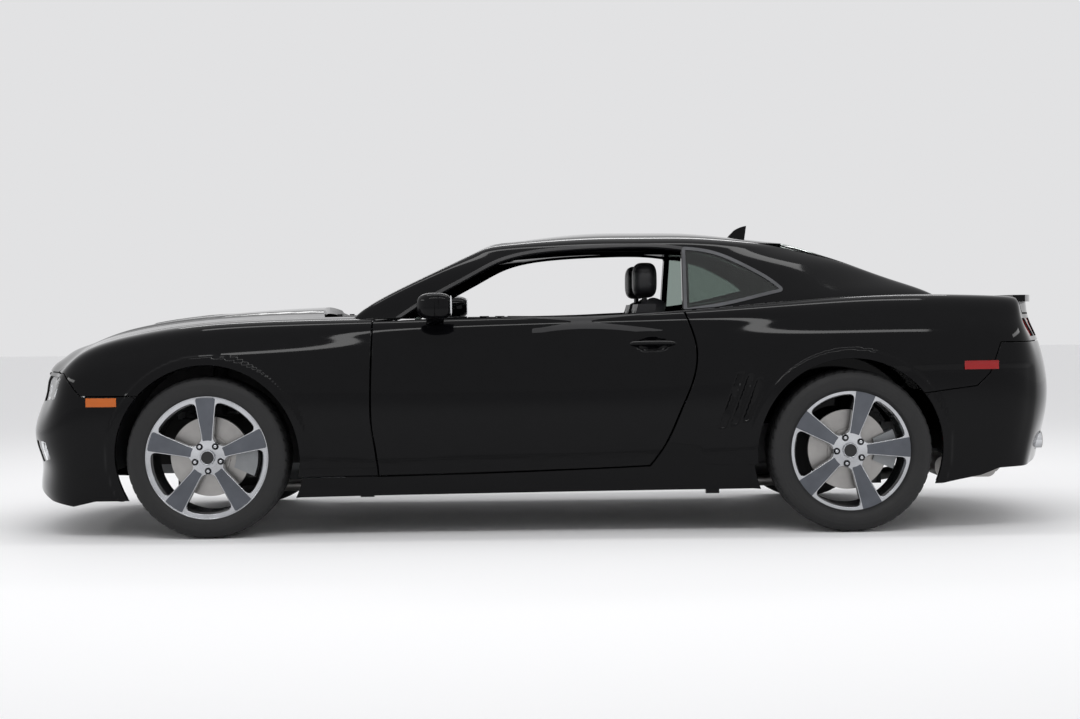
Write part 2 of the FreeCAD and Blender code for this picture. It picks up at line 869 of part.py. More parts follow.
# Tail seams
rear_seam_x_shares = [-0.6617, -0.7982, -0.8234, -0.8441]
rear_seam_z_shares = [0.4392, 0.4685, 0.5110, 0.6091]
rear_seam_places = side_places(rear_seam_x_shares, rear_seam_z_shares)
tail_panel_z = rear_seam_places[-1][1]
rear_seam = ring(
    rear_seam_places
    + [(tail_end, tail_panel_z), (tail_end, 0), (rear_seam_places[0][0], 0)]
)
rear_bumper_region = side_prism(rear_seam, 0, side_end)
rear_bumper_hole = side_prism(grown_ring(rear_seam, seam_gap), 0, side_end)
lid_region = box(-lid_front_x, tail_end, 0, lid_half_width, lid_shelf_z, roof_height).fuse(
    box(-lid_front_x, tail_end, 0, lid_tongue_y, lid_low_z, roof_height)
)
lid_edge_x = lid_gap - lid_front_x
lid_hole = box(
    lid_edge_x, tail_end, 0, lid_half_width + hood_gap, lid_shelf_z - hood_gap, roof_height
)
lid_hole = lid_hole.fuse(
    box(
        lid_edge_x, tail_end, 0, lid_tongue_y + hood_gap,
        tail_panel_z - seam_gap, roof_height,
    )
)


def tail_prism(y0, y1, grow):
    return box(
        tail_cut_x, tail_end, y0 - grow, y1 + grow,
        tail_lamp_low_z - grow, tail_lamp_high_z + grow,
    )


side = outer_body.cut(
    box(door_foot_x - 3 * door_gap, nose_end, 0, side_end, sill_top, roof_height)
)
side = side.cut(box(nose_end, tail_end, 0, sill_inner_y, 0, floor_height + floor_thickness))
side = side.fuse(outer_cabin).cut(cabin_void).cut(trunk_void)
pillar_foot = box(
    pillar_rear_x, pillar_front_x, kick_half_width, pillar_outer_y,
    sill_top - clear, cabin_base + wall_thickness,
)
side = side.fuse(pillar_foot)
bulkhead_slot = box(
    seat_bulkhead_x + clear, bulkhead_back_x - clear,
    0, wheelhouse_inner_y - wheelhouse_wall, 0, cabin_base + clear,
)
axle_room = box(
    rear_axle_x - arch_room, rear_axle_x + arch_room,
    0, wheelhouse_inner_y + seat_gap, 0, rear_floor_height,
)
roof_bed = half_solid(inset_rows(cabin_rows, roof_thickness + seat_gap))
deck_bed = inset_half(roof_thickness + seat_gap).fuse(roof_bed)
roof_edge_y = roof_half_width - seam_gap
lip_inner_y = roof_half_width - roof_lip
roof_seat = roof_bed.common(
    box(nose_end, tail_end, lip_inner_y, roof_half_width, back_top_z + seam_gap, roof_height)
)
deck_seat = deck_bed.common(
    box(
        deck_front_x, lid_edge_x, lip_inner_y, roof_half_width,
        parcel_height + clear, back_base_z - seam_gap,
    )
)
middle_hole = box(nose_end, tail_end, 0, roof_half_width, 0, roof_height + overrun)
for hole in [
    middle_hole.cut(roof_seat).cut(deck_seat),
    screen_hole,
    back_hole,
    door_hole,
    light_hole,
    quarter_hole,
    rear_bumper_hole,
    lid_hole,
    arch_holes,
    house_rear,
    wheel_hole(front_axle_x, arch_room, wheelhouse_inner_y, side_end),
    bulkhead_slot,
    axle_room,
]:
    side = side.cut(hole)
lamp_housing_zone = core_half(tail_lamp_setback).cut(core_half(tail_lamp_depth))
tail_lamps = []
for y0, y1 in tail_lamp_ys:
    side = side.cut(tail_prism(y0, y1, seat_gap))
    tail_lamps.append(lamp_housing_zone.common(tail_prism(y0, y1, 0)))
side = biggest(side)
bracket_height = clear - seat_gap
for height in hinge_heights:
    low_z = height - hinge_pin_length / 2
    high_z = height + hinge_pin_length / 2
    outer_y = hinge_y + hinge_arm / 2
    for z0 in (low_z, high_z - bracket_height):
        z1 = z0 + bracket_height
        side = side.fuse(
            box(hinge_x - hinge_arm, pillar_front_x, outer_y - hinge_arm, outer_y, z0, z1)
        )
        side = side.fuse(
            box(
                pillar_front_x - wall_thickness, pillar_front_x,
                pillar_outer_y - wall_thickness, outer_y, z0, z1,
            )
        )
    side = side.fuse(rod_z(hinge_x, hinge_y, hinge_pin_radius, low_z, high_z))
for x in jack_xs:
    side = side.fuse(
        box(
            x - jack_half, x + jack_half, jack_y - jack_half, jack_y + jack_half,
            jack_face_z, sill_top - wall_thickness,
        )
    )
model["body_side_left"] = biggest(side)

window_skin = outer_cabin.cut(glass_cabin)
quarter_glass = window_skin.common(quarter_region)
model["quarter_glass"] = Part.makeCompound([quarter_glass, mirrored(quarter_glass)])
model["tail_lamps"] = Part.makeCompound(tail_lamps + [mirrored(lamp) for lamp in tail_lamps])

# Glass and roof
model["windscreen"] = both_halves(biggest(window_skin.common(screen_region)))
model["rear_window"] = both_halves(biggest(window_skin.common(back_region)))

roof_top_z = roof_height + overrun
roof_zone = box(0, nose_end, 0, roof_edge_y, screen_top_z + seam_gap, roof_top_z)
roof_zone = roof_zone.fuse(box(tail_end, 0, 0, roof_edge_y, back_top_z + seam_gap, roof_top_z))
roof_half = outer_cabin.cut(roof_cabin).common(roof_zone)
fin_middle = (
    mix(fin_front_x, fin_rear_x, fin_middle_x_share),
    mix(fin_base_z, fin_top_z, fin_middle_z_share),
)
fin_heel = (mix(fin_rear_x, fin_front_x, fin_heel_share), fin_base_z)
fin = side_prism(
    [
        [(fin_front_x, fin_base_z), fin_middle, (fin_rear_x, fin_top_z)],
        [(fin_rear_x, fin_top_z), fin_heel],
        [fin_heel, (fin_front_x, fin_base_z)],
    ],
    -fin_half_width,
    fin_half_width,
)
model["roof_panel"] = both_halves(biggest(roof_half)).fuse(fin)

deck_skin = outer_body.fuse(outer_cabin).cut(inset_half(roof_thickness).fuse(roof_cabin))
deck_half = deck_skin.common(
    box(deck_front_x, lid_edge_x, 0, roof_edge_y, cabin_base, back_base_z - seam_gap)
)

# Hood, fenders and bumpers
hood_half = hood_skin.common(hood_region)
fender_low_z = sill_top + clear
fender_zone = box(
    door_front_x + door_gap, nose_end, 0, side_end, fender_low_z, roof_height
).fuse(box(door_foot_x - door_gap, nose_end, 0, side_end, fender_low_z, door_top_z))
cabin_clear = half_solid(inset_rows(cabin_rows, -glass_gap))
cowl_zone = box(0, hood_corner_x + hood_gap, 0, hood_rear_y + hood_gap, 0, roof_height)
fender = body_skin.common(fender_zone)
for hole in [door_hole, hood_hole, front_bumper_hole, arch_holes, cabin_clear, cowl_zone]:
    fender = fender.cut(hole)
model["fender_left"] = biggest(fender)

front_bumper = body_skin.common(front_bumper_region).cut(arch_holes)
for outline in (grille_ring, lamp_ring, intake_ring, fog_ring):
    front_bumper = front_bumper.cut(nose_prism(outline))
model["front_bumper"] = both_halves(biggest(front_bumper))

lid_half = outer_body.cut(inset_half(roof_thickness)).common(lid_region)
model["trunk_lid"] = both_halves(biggest(lid_half))

rear_bumper = body_skin.common(rear_bumper_region).cut(arch_holes)
rear_bumper = both_halves(biggest(rear_bumper))
plate_z = (plate_low_z + plate_high_z) / 2
plate_frame = box(
    plate_x, plate_x + plate_back, -plate_half_width - skin, plate_half_width + skin,
    plate_low_z - skin, plate_high_z + skin,
)
plate_room = box(
    plate_x, tail_end, -plate_half_width, plate_half_width, plate_low_z, plate_high_z
)
rear_bumper = rear_bumper.fuse(plate_frame).cut(plate_room)
for sign in (-1, 1):
    hole_y = sign * plate_hole_y
    rear_bumper = rear_bumper.cut(
        rod(
            (tail_end, hole_y, plate_z), (plate_x + 2 * plate_back, hole_y, plate_z),
            plate_hole_radius,
        )
    )
    rear_bumper = rear_bumper.cut(
        rod(
            (tail_cut_x, sign * tip_y, tip_z), (tail_end, sign * tip_y, tip_z),
            tip_radius + clear,
        )
    )
model["rear_bumper"] = biggest(rear_bumper)

# Lamps and grilles behind the openings
skin_bed = inset_half(skin + seat_gap)


def grille_mesh(outline, low_z, high_z, half_span):
    """Frame with level and upright bars that follows the nose in plan."""
    zone = core_half(grille_setback).cut(core_half(grille_setback + grille_depth))
    zone = zone.common(nose_prism(outline, grille_frame))
    half_bar = grille_bar / 2
    frame = zone.cut(nose_prism(outline, -half_bar))
    collar = skin_bed.cut(core_half(grille_setback + grille_depth / 2))
    collar = collar.common(nose_prism(outline, grille_frame)).cut(nose_prism(outline, clear))
    bars = []
    for row in range(1, grille_rows):
        z = mix(low_z, high_z, row / grille_rows)
        bars.append(
            box(nose_cut_x, nose_end, 0, half_span + grille_frame, z - half_bar, z + half_bar)
        )
    for column in range(grille_columns):
        y = half_span * column / grille_columns
        bars.append(box(nose_cut_x, nose_end, y - half_bar, y + half_bar, low_z, high_z))
    lattice = joined(bars).common(nose_prism(outline, grille_bar))
    half = frame.fuse(zone.common(lattice)).fuse(collar)
    half = half.common(box(nose_cut_x, nose_end, 0, side_end, 0, roof_height))
    return biggest(both_halves(half))


model["grilles"] = Part.makeCompound(
    [
        grille_mesh(grille_ring, grille_low_z, grille_high_z, grille_half_width),
        grille_mesh(intake_ring, intake_low_z, intake_high_z, intake_half_width),
    ]
)
lamp_zone = core_half(lamp_setback).cut(core_half(lamp_depth))
for name, outline in (("headlamps", lamp_ring), ("fog_lamps", fog_ring)):
    lamp = lamp_zone.common(nose_prism(outline, -seat_gap))
    model[name] = Part.makeCompound([lamp, mirrored(lamp)])

# Wheels, turned about the axle


def turned(points):
    """Ring turned about the Y axis from (radius, y) places."""
    places = [V(radius, y, 0) for radius, y in points]
    face = Part.Face(Part.makePolygon(places + [places[0]]))
    return face.revolve(V(0, 0, 0), V(0, 1, 0), full_turn)


def tyre_ring(tyre_width):
    """Tyre with bead seats, bulged walls and a crowned tread."""
    bead_y = rim_width / 2 - flange_width - 2 * seat_gap
    outer_wall = [
        (tyre_radius, tyre_width * flat_tread_share),
        (tyre_radius - tread_crown, tyre_width * tread_half_share),
        (tyre_radius - shoulder_drop, tyre_width * shoulder_half_share),
        (tyre_bulge_radius, tyre_width / 2),
        (flange_radius, bead_y),
        (rim_radius + 2 * seat_gap, bead_y),
    ]
    inner_wall = [(radius, -y) for radius, y in outer_wall[::-1]]
    return turned(outer_wall + inner_wall)


def rim_solid(first_angle):
    """Barrel, hub, cap and wedge spokes with lug holes."""
    half = rim_width / 2
    flange_y = half - flange_width
    barrel_radius = rim_radius - barrel_wall
    barrel = turned(
        [
            (barrel_radius, -half),
            (flange_radius, -half),
            (flange_radius, -flange_y),
            (rim_radius, -flange_y),
            (rim_radius, flange_y),
            (flange_radius, flange_y),
            (flange_radius, half),
            (barrel_radius, half),
        ]
    )
    bore = axle_pin_radius + pin_clearance
    hub_back_y = disc_face_offset + seat_gap
    hub = turned(
        [
            (bore, hub_back_y),
            (hub_radius, hub_back_y),
            (hub_radius, hub_outer_y),
            (0, hub_outer_y),
            (0, hub_face_y),
            (bore, hub_face_y),
        ]
    )
    root_radius = rim_radius - barrel_wall / 2
    end_radius = flange_radius - flange_width
    front_y = spoke_face_y + flange_width / 2
    envelope = turned(
        [
            (spoke_inner_radius, hub_face_y - spoke_depth / 2),
            (root_radius, spoke_face_y - spoke_depth),
            (root_radius, flange_y),
            (end_radius, flange_y),
            (end_radius, front_y),
            (rim_radius, front_y),
            (spoke_inner_radius, hub_outer_y + flange_width / 2),
        ]
    )
    inner = spoke_inner_width / 2
    outer = spoke_outer_width / 2
    wedge_corners = [
        V(0, -half, -inner),
        V(flange_radius, -half, -outer),
        V(flange_radius, -half, outer),
        V(0, -half, inner),
    ]
    wedge_face = Part.Face(Part.makePolygon(wedge_corners + [wedge_corners[0]]))
    spoke = envelope.common(wedge_face.extrude(V(0, 2 * rim_width, 0)))
    spoke.rotate(V(0, 0, 0), V(0, 1, 0), -first_angle)
    rim = barrel.fuse(hub)
    for i in range(spoke_count):
        rim = rim.fuse(spoke)
        spoke.rotate(V(0, 0, 0), V(0, 1, 0), -full_turn / spoke_count)
    cap_y = hub_outer_y - flange_width
    rim = rim.fuse(rod_y(0, 0, cap_radius, cap_y, cap_y + cap_depth))
    for i in range(lug_count):
        angle = math.radians(first_angle + (2 * i + 1) * full_turn / (2 * lug_count))
        x = bolt_circle / 2 * math.cos(angle)
        z = bolt_circle / 2 * math.sin(angle)
        rim = rim.cut(rod_y(x, z, lug_hole_radius, hub_outer_y - cap_depth, front_y))
    return biggest(rim)


def brake_disc():
    """Ring of the disc with its hat, hollow toward the car."""
    face_y = disc_face_offset
    front_y = face_y - disc_thickness / 2
    back_y = front_y - disc_thickness
    bore = axle_pin_radius + pin_clearance
    hat_inner = disc_hat_radius - disc_hat_wall
    return turned(
        [
            (bore, face_y),
            (disc_hat_radius, face_y),
            (disc_hat_radius, front_y),
            (disc_radius, front_y),
            (disc_radius, back_y),
            (hat_inner, back_y),
            (hat_inner, face_y - disc_hat_wall),
            (bore, face_y - disc_hat_wall),
        ]
    )


wheel_sets = [
    ("front", front_axle_x, front_wheel_y, front_tyre_width, front_spoke_angle),
    ("rear", rear_axle_x, rear_wheel_y, rear_tyre_width, rear_spoke_angle),
]
for place, axle_x, wheel_y, tyre_width, angle in wheel_sets:
    for name, shape in [
        ("tyre_", tyre_ring(tyre_width)),
        ("rim_", rim_solid(angle)),
        ("brake_disc_", brake_disc()),
    ]:
        shape.translate(V(axle_x, wheel_y, tyre_radius))
        model[name + place + "_left"] = shape

# Hub carriers with their calipers
disc_front_y = disc_face_offset - disc_thickness / 2
carrier_face_y = disc_front_y - disc_thickness - clear
carrier_thickness = 26.0
carrier_half_height = 150.0
rear_carrier_top = 76.0
carrier_half_width = 38.0
carrier_flange_radius = 57.0
ball_radius = 11.0
ball_length = 26.0
caliper_inner = 118.0
caliper_outer = 216.0
caliper_angle = 180.0
caliper_half_angle = 24.0
caliper_wall = 17.0
carrier_back_y = carrier_face_y - carrier_thickness


def sector(inner, outer, y0, y1):
    """Piece of a ring about the axle, at the angle of the caliper."""
    reach = 2 * outer
    corners = [V(0, y0, 0)]
    for side_sign in (-1, 1):
        angle = math.radians(caliper_angle + side_sign * caliper_half_angle)
        corners.append(V(reach * math.cos(angle), y0, reach * math.sin(angle)))
    wedge = Part.Face(Part.makePolygon(corners + [corners[0]])).extrude(V(0, y1 - y0, 0))
    return turned([(inner, y0), (outer, y0), (outer, y1), (inner, y1)]).common(wedge)


def carrier(top):
    """Upright with axle pin, ball pins at its ends and the caliper behind the axle."""
    low = -carrier_half_height
    half = carrier_half_width
    lug_y = -steer_offset - ball_radius
    jaw_y = disc_front_y + clear
    inner_jaw_y = carrier_face_y - caliper_wall
    return joined(
        [
            rod_y(0, 0, axle_pin_radius, carrier_back_y, hub_face_y - seat_gap),
            rod_y(0, 0, carrier_flange_radius, carrier_back_y, carrier_face_y),
            box(-half, half, carrier_back_y, carrier_face_y, low, top),
            box(-half / 2, half / 2, lug_y, carrier_face_y, low, low + ball_length),
            box(-half / 2, half / 2, lug_y, carrier_face_y, top - ball_length, top),
            rod_z(0, -steer_offset, ball_radius, low - ball_length, low),
            rod_z(0, -steer_offset, ball_radius, top, top + ball_length),
            sector(caliper_inner, caliper_outer, jaw_y, jaw_y + caliper_wall),
            sector(caliper_inner, caliper_outer, inner_jaw_y, carrier_face_y),
            sector(disc_radius + clear, caliper_outer, inner_jaw_y, jaw_y + caliper_wall),
            box(-caliper_inner - clear, -half / 2, inner_jaw_y, carrier_face_y, -half, half),
        ]
    )


front_carrier = carrier(carrier_half_height)
front_carrier.translate(V(front_axle_x, front_wheel_y, tyre_radius))
model["knuckle_front_left"] = front_carrier
rear_carrier = carrier(rear_carrier_top)
rear_carrier.translate(V(rear_axle_x, rear_wheel_y, tyre_radius))
model["rear_knuckles"] = Part.makeCompound([rear_carrier, mirrored(rear_carrier)])

# Wishbones, coil-over struts and frames
rail_inner_y = 380.0
rail_outer_y = 450.0
rail_low_z = 385.0
rail_high_z = 495.0
rail_front_x = 2170.0
cross_front_x = 2110.0
cross_half_width = 560.0
bush_half_gap = 190.0
narrow_half_gap = 60.0
arm_thickness = 22.0
eye_radius = 26.0
front_high_share = 0.8
arm_open_share = 0.6
strut_radius = 36.0
rear_strut_radius = 30.0
front_strut_foot_y = 655.0
front_strut_top_y = 478.0
rear_strut_y = 560.0
rear_strut_back = 99.0
subframe_half_y = 470.0
subframe_low_z = 176.0
subframe_high_z = 232.0
subframe_half_x = 210.0
subframe_wall = 60.0
apron_y = 452.0
apron_wall = 6.0
apron_low_z = 300.0
low_arm_z = tyre_radius - carrier_half_height - ball_length
front_high_arm_z = tyre_radius + carrier_half_height + ball_length - arm_thickness
rear_high_arm_z = tyre_radius + rear_carrier_top + ball_length - arm_thickness
strut_foot_z = low_arm_z + arm_thickness + seat_gap
arm_root_y = subframe_half_y + seat_gap


def wishbone(axle_x, wheel_y, z, inner_y, half_gap, open_share):
    """Flat A-arm from two bushes to the eye round a ball pin."""
    tip = wheel_y - steer_offset
    outline = [
        V(axle_x - half_gap, inner_y, z),
        V(axle_x - half_gap + 2 * eye_radius, inner_y, z),
        V(axle_x, mix(inner_y, tip, open_share), z),
        V(axle_x + half_gap - 2 * eye_radius, inner_y, z),
        V(axle_x + half_gap, inner_y, z),
        V(axle_x + eye_radius, tip - eye_radius / 2, z),
        V(axle_x - eye_radius, tip - eye_radius / 2, z),
    ]
    plate = Part.Face(Part.makePolygon(outline + [outline[0]])).extrude(V(0, 0, arm_thickness))
    eye = rod_z(axle_x, tip, eye_radius, z, z + arm_thickness)
    bore = rod_z(axle_x, tip, ball_radius + pin_clearance, z - clear, z + arm_thickness + clear)
    return plate.fuse(eye).cut(bore)


front_low = wishbone(
    front_axle_x, front_wheel_y, low_arm_z, arm_root_y, bush_half_gap, arm_open_share
)
front_high = wishbone(
    front_axle_x, front_wheel_y, front_high_arm_z, rail_inner_y, bush_half_gap, front_high_share
)
rear_low = wishbone(
    rear_axle_x, rear_wheel_y, low_arm_z, arm_root_y, bush_half_gap, arm_open_share
)
rear_high = wishbone(
    rear_axle_x, rear_wheel_y, rear_high_arm_z, arm_root_y, narrow_half_gap, arm_open_share
)
front_strut = rod(
    (front_axle_x, front_strut_foot_y, strut_foot_z - strut_radius),
    (front_axle_x, front_strut_top_y, tyre_radius + arch_room),
    strut_radius,
)
front_strut = front_strut.common(
    box(
        front_axle_x - strut_radius, front_axle_x + strut_radius,
        0, side_end, strut_foot_z, roof_height,
    )
)
front_strut = front_strut.common(
    wheel_hole(front_axle_x, arch_room - seat_gap, apron_y + apron_wall, side_end)
)
rear_strut = rod_z(
    rear_axle_x - rear_strut_back, rear_strut_y, rear_strut_radius,
    strut_foot_z, rear_floor_height - seat_gap,
)
front_links = [front_low, front_high, front_strut]
rear_links = [rear_low, rear_high, rear_strut]
model["front_arms"] = Part.makeCompound(front_links + [mirrored(link) for link in front_links])
model["rear_arms"] = Part.makeCompound(rear_links + [mirrored(link) for link in rear_links])


def side_rail(axle_x, top_z):
    """Side member of a suspension frame, beside the inner ends of the low arms."""
    return box(
        axle_x - subframe_half_x, axle_x + subframe_half_x,
        subframe_half_y - subframe_wall, subframe_half_y, subframe_low_z, top_z,
    )


def front_frame(axle_x):
    """Cross-member with side rails, risers to the long rails and seats for the high arms."""
    members = [
        side_rail(axle_x, subframe_high_z),
        box(
            axle_x - subframe_wall, axle_x + subframe_wall,
            0, subframe_half_y, subframe_low_z, subframe_high_z,
        ),
    ]
    for side_sign in (-1, 1):
        riser_x = axle_x + side_sign * subframe_half_x
        members.append(
            box(
                riser_x, riser_x - side_sign * subframe_wall,
                rail_inner_y, rail_outer_y, subframe_high_z, rail_low_z,
            )
        )
        seat_x = axle_x + side_sign * bush_half_gap
        members.append(
            box(
                seat_x, seat_x - side_sign * 2 * eye_radius,
                rail_inner_y, rail_outer_y, rail_high_z, front_high_arm_z - seat_gap,
            )
        )
    return joined(members)


long_rail = box(
    pillar_front_x + wall_thickness, rail_front_x,
    rail_inner_y, rail_outer_y, rail_low_z, rail_high_z,
)
front_cross = box(
    cross_front_x - subframe_wall, cross_front_x,
    0, cross_half_width, subframe_high_z + subframe_wall, rail_high_z - clear,
)
rails_half = joined([long_rail, front_cross, front_frame(front_axle_x)])
model["front_rails"] = biggest(both_halves(rails_half))

# Apron and arch liner of the front wheel
apron_top_y = apron_y + 2 * apron_wall
apron_room = wheel_hole(front_axle_x, arch_room, apron_y, side_end)
liner = wheel_hole(front_axle_x, arch_room + liner_thickness, apron_y, side_end).cut(apron_room)
liner = liner.common(skin_bed)
liner = liner.cut(front_bumper_hole.common(box(0, nose_end, 0, side_end, 0, apron_low_z)))
apron = wheel_hole(front_axle_x, arch_room + liner_thickness, apron_y, apron_y + apron_wall)
liner = liner.fuse(apron).common(box(0, nose_end, apron_y, side_end, apron_low_z, roof_height))
liner = liner.cut(
    box(
        front_axle_x - subframe_half_x, front_axle_x + subframe_half_x, 0, apron_top_y,
        front_high_arm_z - clear, front_high_arm_z + arm_thickness + clear,
    )
)
liner = biggest(liner.cut(box(0, pillar_front_x + clear, 0, side_end, 0, roof_height)))
model["wheel_liners"] = Part.makeCompound([liner, mirrored(liner)])

# Floor with its tunnel
heel_front_x = -560.0
heel_rear_x = -640.0
heel_rise = 56.0
bench_rise = 70.0
kickup_rear_x = -1700.0
trunk_step_x = -1760.0
trunk_rear_x = -2240.0
tip_notch_x = -2080.0
tunnel_top_z = floor_height + tunnel_height
house_floor_y = wheelhouse_inner_y - wheelhouse_wall
floor_line = [
    (pillar_front_x, tunnel_top_z),
    (pillar_rear_x, floor_height + floor_thickness / 2),
    (heel_front_x, floor_height + floor_thickness / 2),
    (heel_rear_x, floor_height + heel_rise),
    (seat_bulkhead_x, floor_height + bench_rise),
    (seat_bulkhead_x, rear_floor_height),
    (kickup_rear_x, rear_floor_height),
    (trunk_step_x, trunk_floor_height),
    (trunk_rear_x, trunk_floor_height),
]


def band(points, thickness):
    """Outline of a strip of even thickness laid along a line, on its lower side."""
    lower = []
    for a, b in zip(points, points[1:]):
        t = tangent_at([a, b], 0)
        shift = (-thickness * t[1], thickness * t[0])
        lower.append([(a[0] + shift[0], a[1] + shift[1]), (b[0] + shift[0], b[1] + shift[1])])
    under = [lower[0][0]]
    for (a, b), (c, d) in zip(lower, lower[1:]):
        under.append(corner_of(b, tangent_at([a, b], 0), c, tangent_at([c, d], 0)))
    under.append(lower[-1][1])
    return points + under[::-1]


floor = side_prism(ring(band(floor_line, -floor_thickness)), 0, sill_inner_y - seat_gap)
tunnel_outer = box(
    pillar_front_x - clear, seat_bulkhead_x - floor_thickness,
    0, tunnel_half_width, floor_height - floor_thickness, tunnel_top_z,
)
tunnel_inner = box(
    nose_end, seat_bulkhead_x - 2 * wall_thickness,
    0, tunnel_half_width - floor_thickness, 0, tunnel_top_z - floor_thickness,
)
floor = floor.fuse(tunnel_outer).cut(tunnel_inner)
trunk_room = core_half(trunk_wall + seat_gap)
back_part = box(seat_bulkhead_x - clear, tail_end, 0, side_end, 0, roof_height)
floor = floor.cut(back_part).fuse(floor.common(back_part).common(trunk_room))
for room in [
    wheel_hole(
        rear_axle_x, arch_room + wheelhouse_wall + seat_gap, house_floor_y - seat_gap, side_end
    ),
    box(pillar_rear_x - clear, nose_end, kick_half_width - seat_gap, side_end, 0, roof_height),
    box(tip_notch_x, tail_end, tip_y - tip_radius - clear, side_end, 0, roof_height),
]:
    floor = floor.cut(room)
model["floor_pan"] = biggest(both_halves(floor))

# Firewall with the cowl, rear bulkhead with the parcel shelf
wall_half_width = 736.0
cowl_rear_x = 838.0
cowl_top_z = 956.0
cowl_front_z = 926.0
cowl_half_width = 682.0
cowl_lip = 32.0
parcel_rear_x = -1830.0
toe_face_x = pillar_front_x + wall_thickness
toe_share = (toe_face_x - cowl_rear_x) / (hood_corner_x - cowl_rear_x)
toe_top_z = mix(cowl_top_z, cowl_front_z, toe_share) - wall_thickness / 2
toe_board = box(
    pillar_front_x + seat_gap, toe_face_x,
    0, wall_half_width, tunnel_top_z + floor_thickness, toe_top_z,
)
cowl_ring = ring(
    [
        (cowl_rear_x, cowl_top_z - wall_thickness),
        (cowl_rear_x, cowl_top_z),
        (hood_corner_x, cowl_front_z),
        (hood_corner_x + cowl_lip, cowl_front_z - cowl_lip),
        (hood_corner_x + wall_thickness, cowl_front_z - cowl_lip),
        (hood_corner_x, cowl_front_z - wall_thickness),
    ]
)
cowl_panel = side_prism(cowl_ring, 0, cowl_half_width)
cowl_panel = cowl_panel.cut(
    box(
        0, cowl_rear_x + wall_thickness + clear, roof_half_width - seat_gap, side_end,
        0, roof_height,
    )
)
firewall = toe_board.fuse(cowl_panel)

shelf_z = parcel_height - wall_thickness
bulkhead_x = seat_bulkhead_x - seat_gap
bulkhead_line = [
    (bulkhead_x, rear_floor_height + floor_thickness),
    (bulkhead_x, shelf_z),
    (parcel_rear_x, shelf_z),
]
bulkhead = side_prism(ring(band(bulkhead_line, wall_thickness)), 0, house_floor_y - clear)
model["rear_bulkhead"] = both_halves(bulkhead)

# Engine, gearbox, shaft and final drive
engine_front_x = 1830.0
engine_rear_x = 1240.0
engine_half_width = 290.0
engine_low_z = 244.0
engine_high_z = 850.0
gearbox_radius = 98.0
gearbox_rear_x = 560.0
gearbox_z = 270.0
shaft_radius = 38.0
shaft_z = 262.0
drive_half_width = 130.0
final_drive_x = rear_axle_x + drive_half_width
model["engine_block"] = box(
    engine_front_x, engine_rear_x,
    -engine_half_width, engine_half_width, engine_low_z, engine_high_z,
)
gearbox = rod(
    (engine_rear_x - seat_gap, 0, gearbox_z), (gearbox_rear_x, 0, gearbox_z), gearbox_radius
)
shaft = rod(
    (gearbox_rear_x + clear, 0, shaft_z), (final_drive_x - clear, 0, shaft_z), shaft_radius
)
final_drive = box(
    rear_axle_x - drive_half_width, final_drive_x, -drive_half_width, drive_half_width,
    subframe_high_z + seat_gap, tyre_radius + drive_half_width / 2,
)
model["driveline"] = joined([gearbox, shaft, final_drive])

# Exhaust: down pipe, long pipe, muffler and the tip through the bumper
pipe_radius = 28.0
pipe_y = 230.0
pipe_z = 176.0
pipe_front_x = 1284.0
pipe_bend_x = -1500.0
muffler_front_x = -1800.0
muffler_rear_x = -2080.0
muffler_inner_y = 300.0
muffler_outer_y = 620.0
muffler_low_z = 212.0
muffler_high_z = 308.0
muffler_round = 40.0
muffler_in_y_share = 0.3
muffler_in_z_share = 0.4
muffler_mid_z = mix(muffler_low_z, muffler_high_z, muffler_in_z_share)
muffler = box(
    muffler_front_x, muffler_rear_x,
    muffler_inner_y, muffler_outer_y, muffler_low_z, muffler_high_z,
)
long_edges = [edge for edge in muffler.Edges if edge.BoundBox.YLength > muffler_round]
muffler = muffler.makeFillet(muffler_round, long_edges)
muffler_in_y = mix(muffler_inner_y, muffler_outer_y, muffler_in_y_share)
front_bend = (pipe_front_x, pipe_y, pipe_z)
rear_bend = (pipe_bend_x, pipe_y, pipe_z)
tip_bend = (tip_bend_x, tip_y, tip_z)
tip_end = (tip_end_x, tip_y, tip_z)
tip_mouth = (tip_bend_x - pipe_radius, tip_y, tip_z)
exhaust = muffler
for place in (front_bend, rear_bend, tip_bend):
    exhaust = exhaust.fuse(Part.makeSphere(pipe_radius, V(*place)))
for start, end in [
    (front_bend, rear_bend),
    (rear_bend, (muffler_front_x - clear, muffler_in_y, muffler_mid_z)),
    ((muffler_rear_x + clear, tip_y, muffler_mid_z), tip_bend),
]:
    exhaust = exhaust.fuse(rod(start, end, pipe_radius))
exhaust = exhaust.fuse(rod_z(pipe_front_x, pipe_y, pipe_radius, pipe_z, engine_low_z - seat_gap))
exhaust = exhaust.fuse(rod(tip_bend, tip_end, tip_radius))
exhaust = exhaust.cut(rod(tip_mouth, (tail_end, tip_y, tip_z), tip_radius - tip_wall))
exhaust = exhaust.fuse(
    rod_z(
        (muffler_front_x + muffler_rear_x) / 2, (muffler_inner_y + muffler_outer_y) / 2,
        hinge_pin_radius, muffler_high_z - clear, trunk_floor_height - seat_gap,
    )
)
model["exhaust"] = Part.makeCompound([exhaust, mirrored(exhaust)])

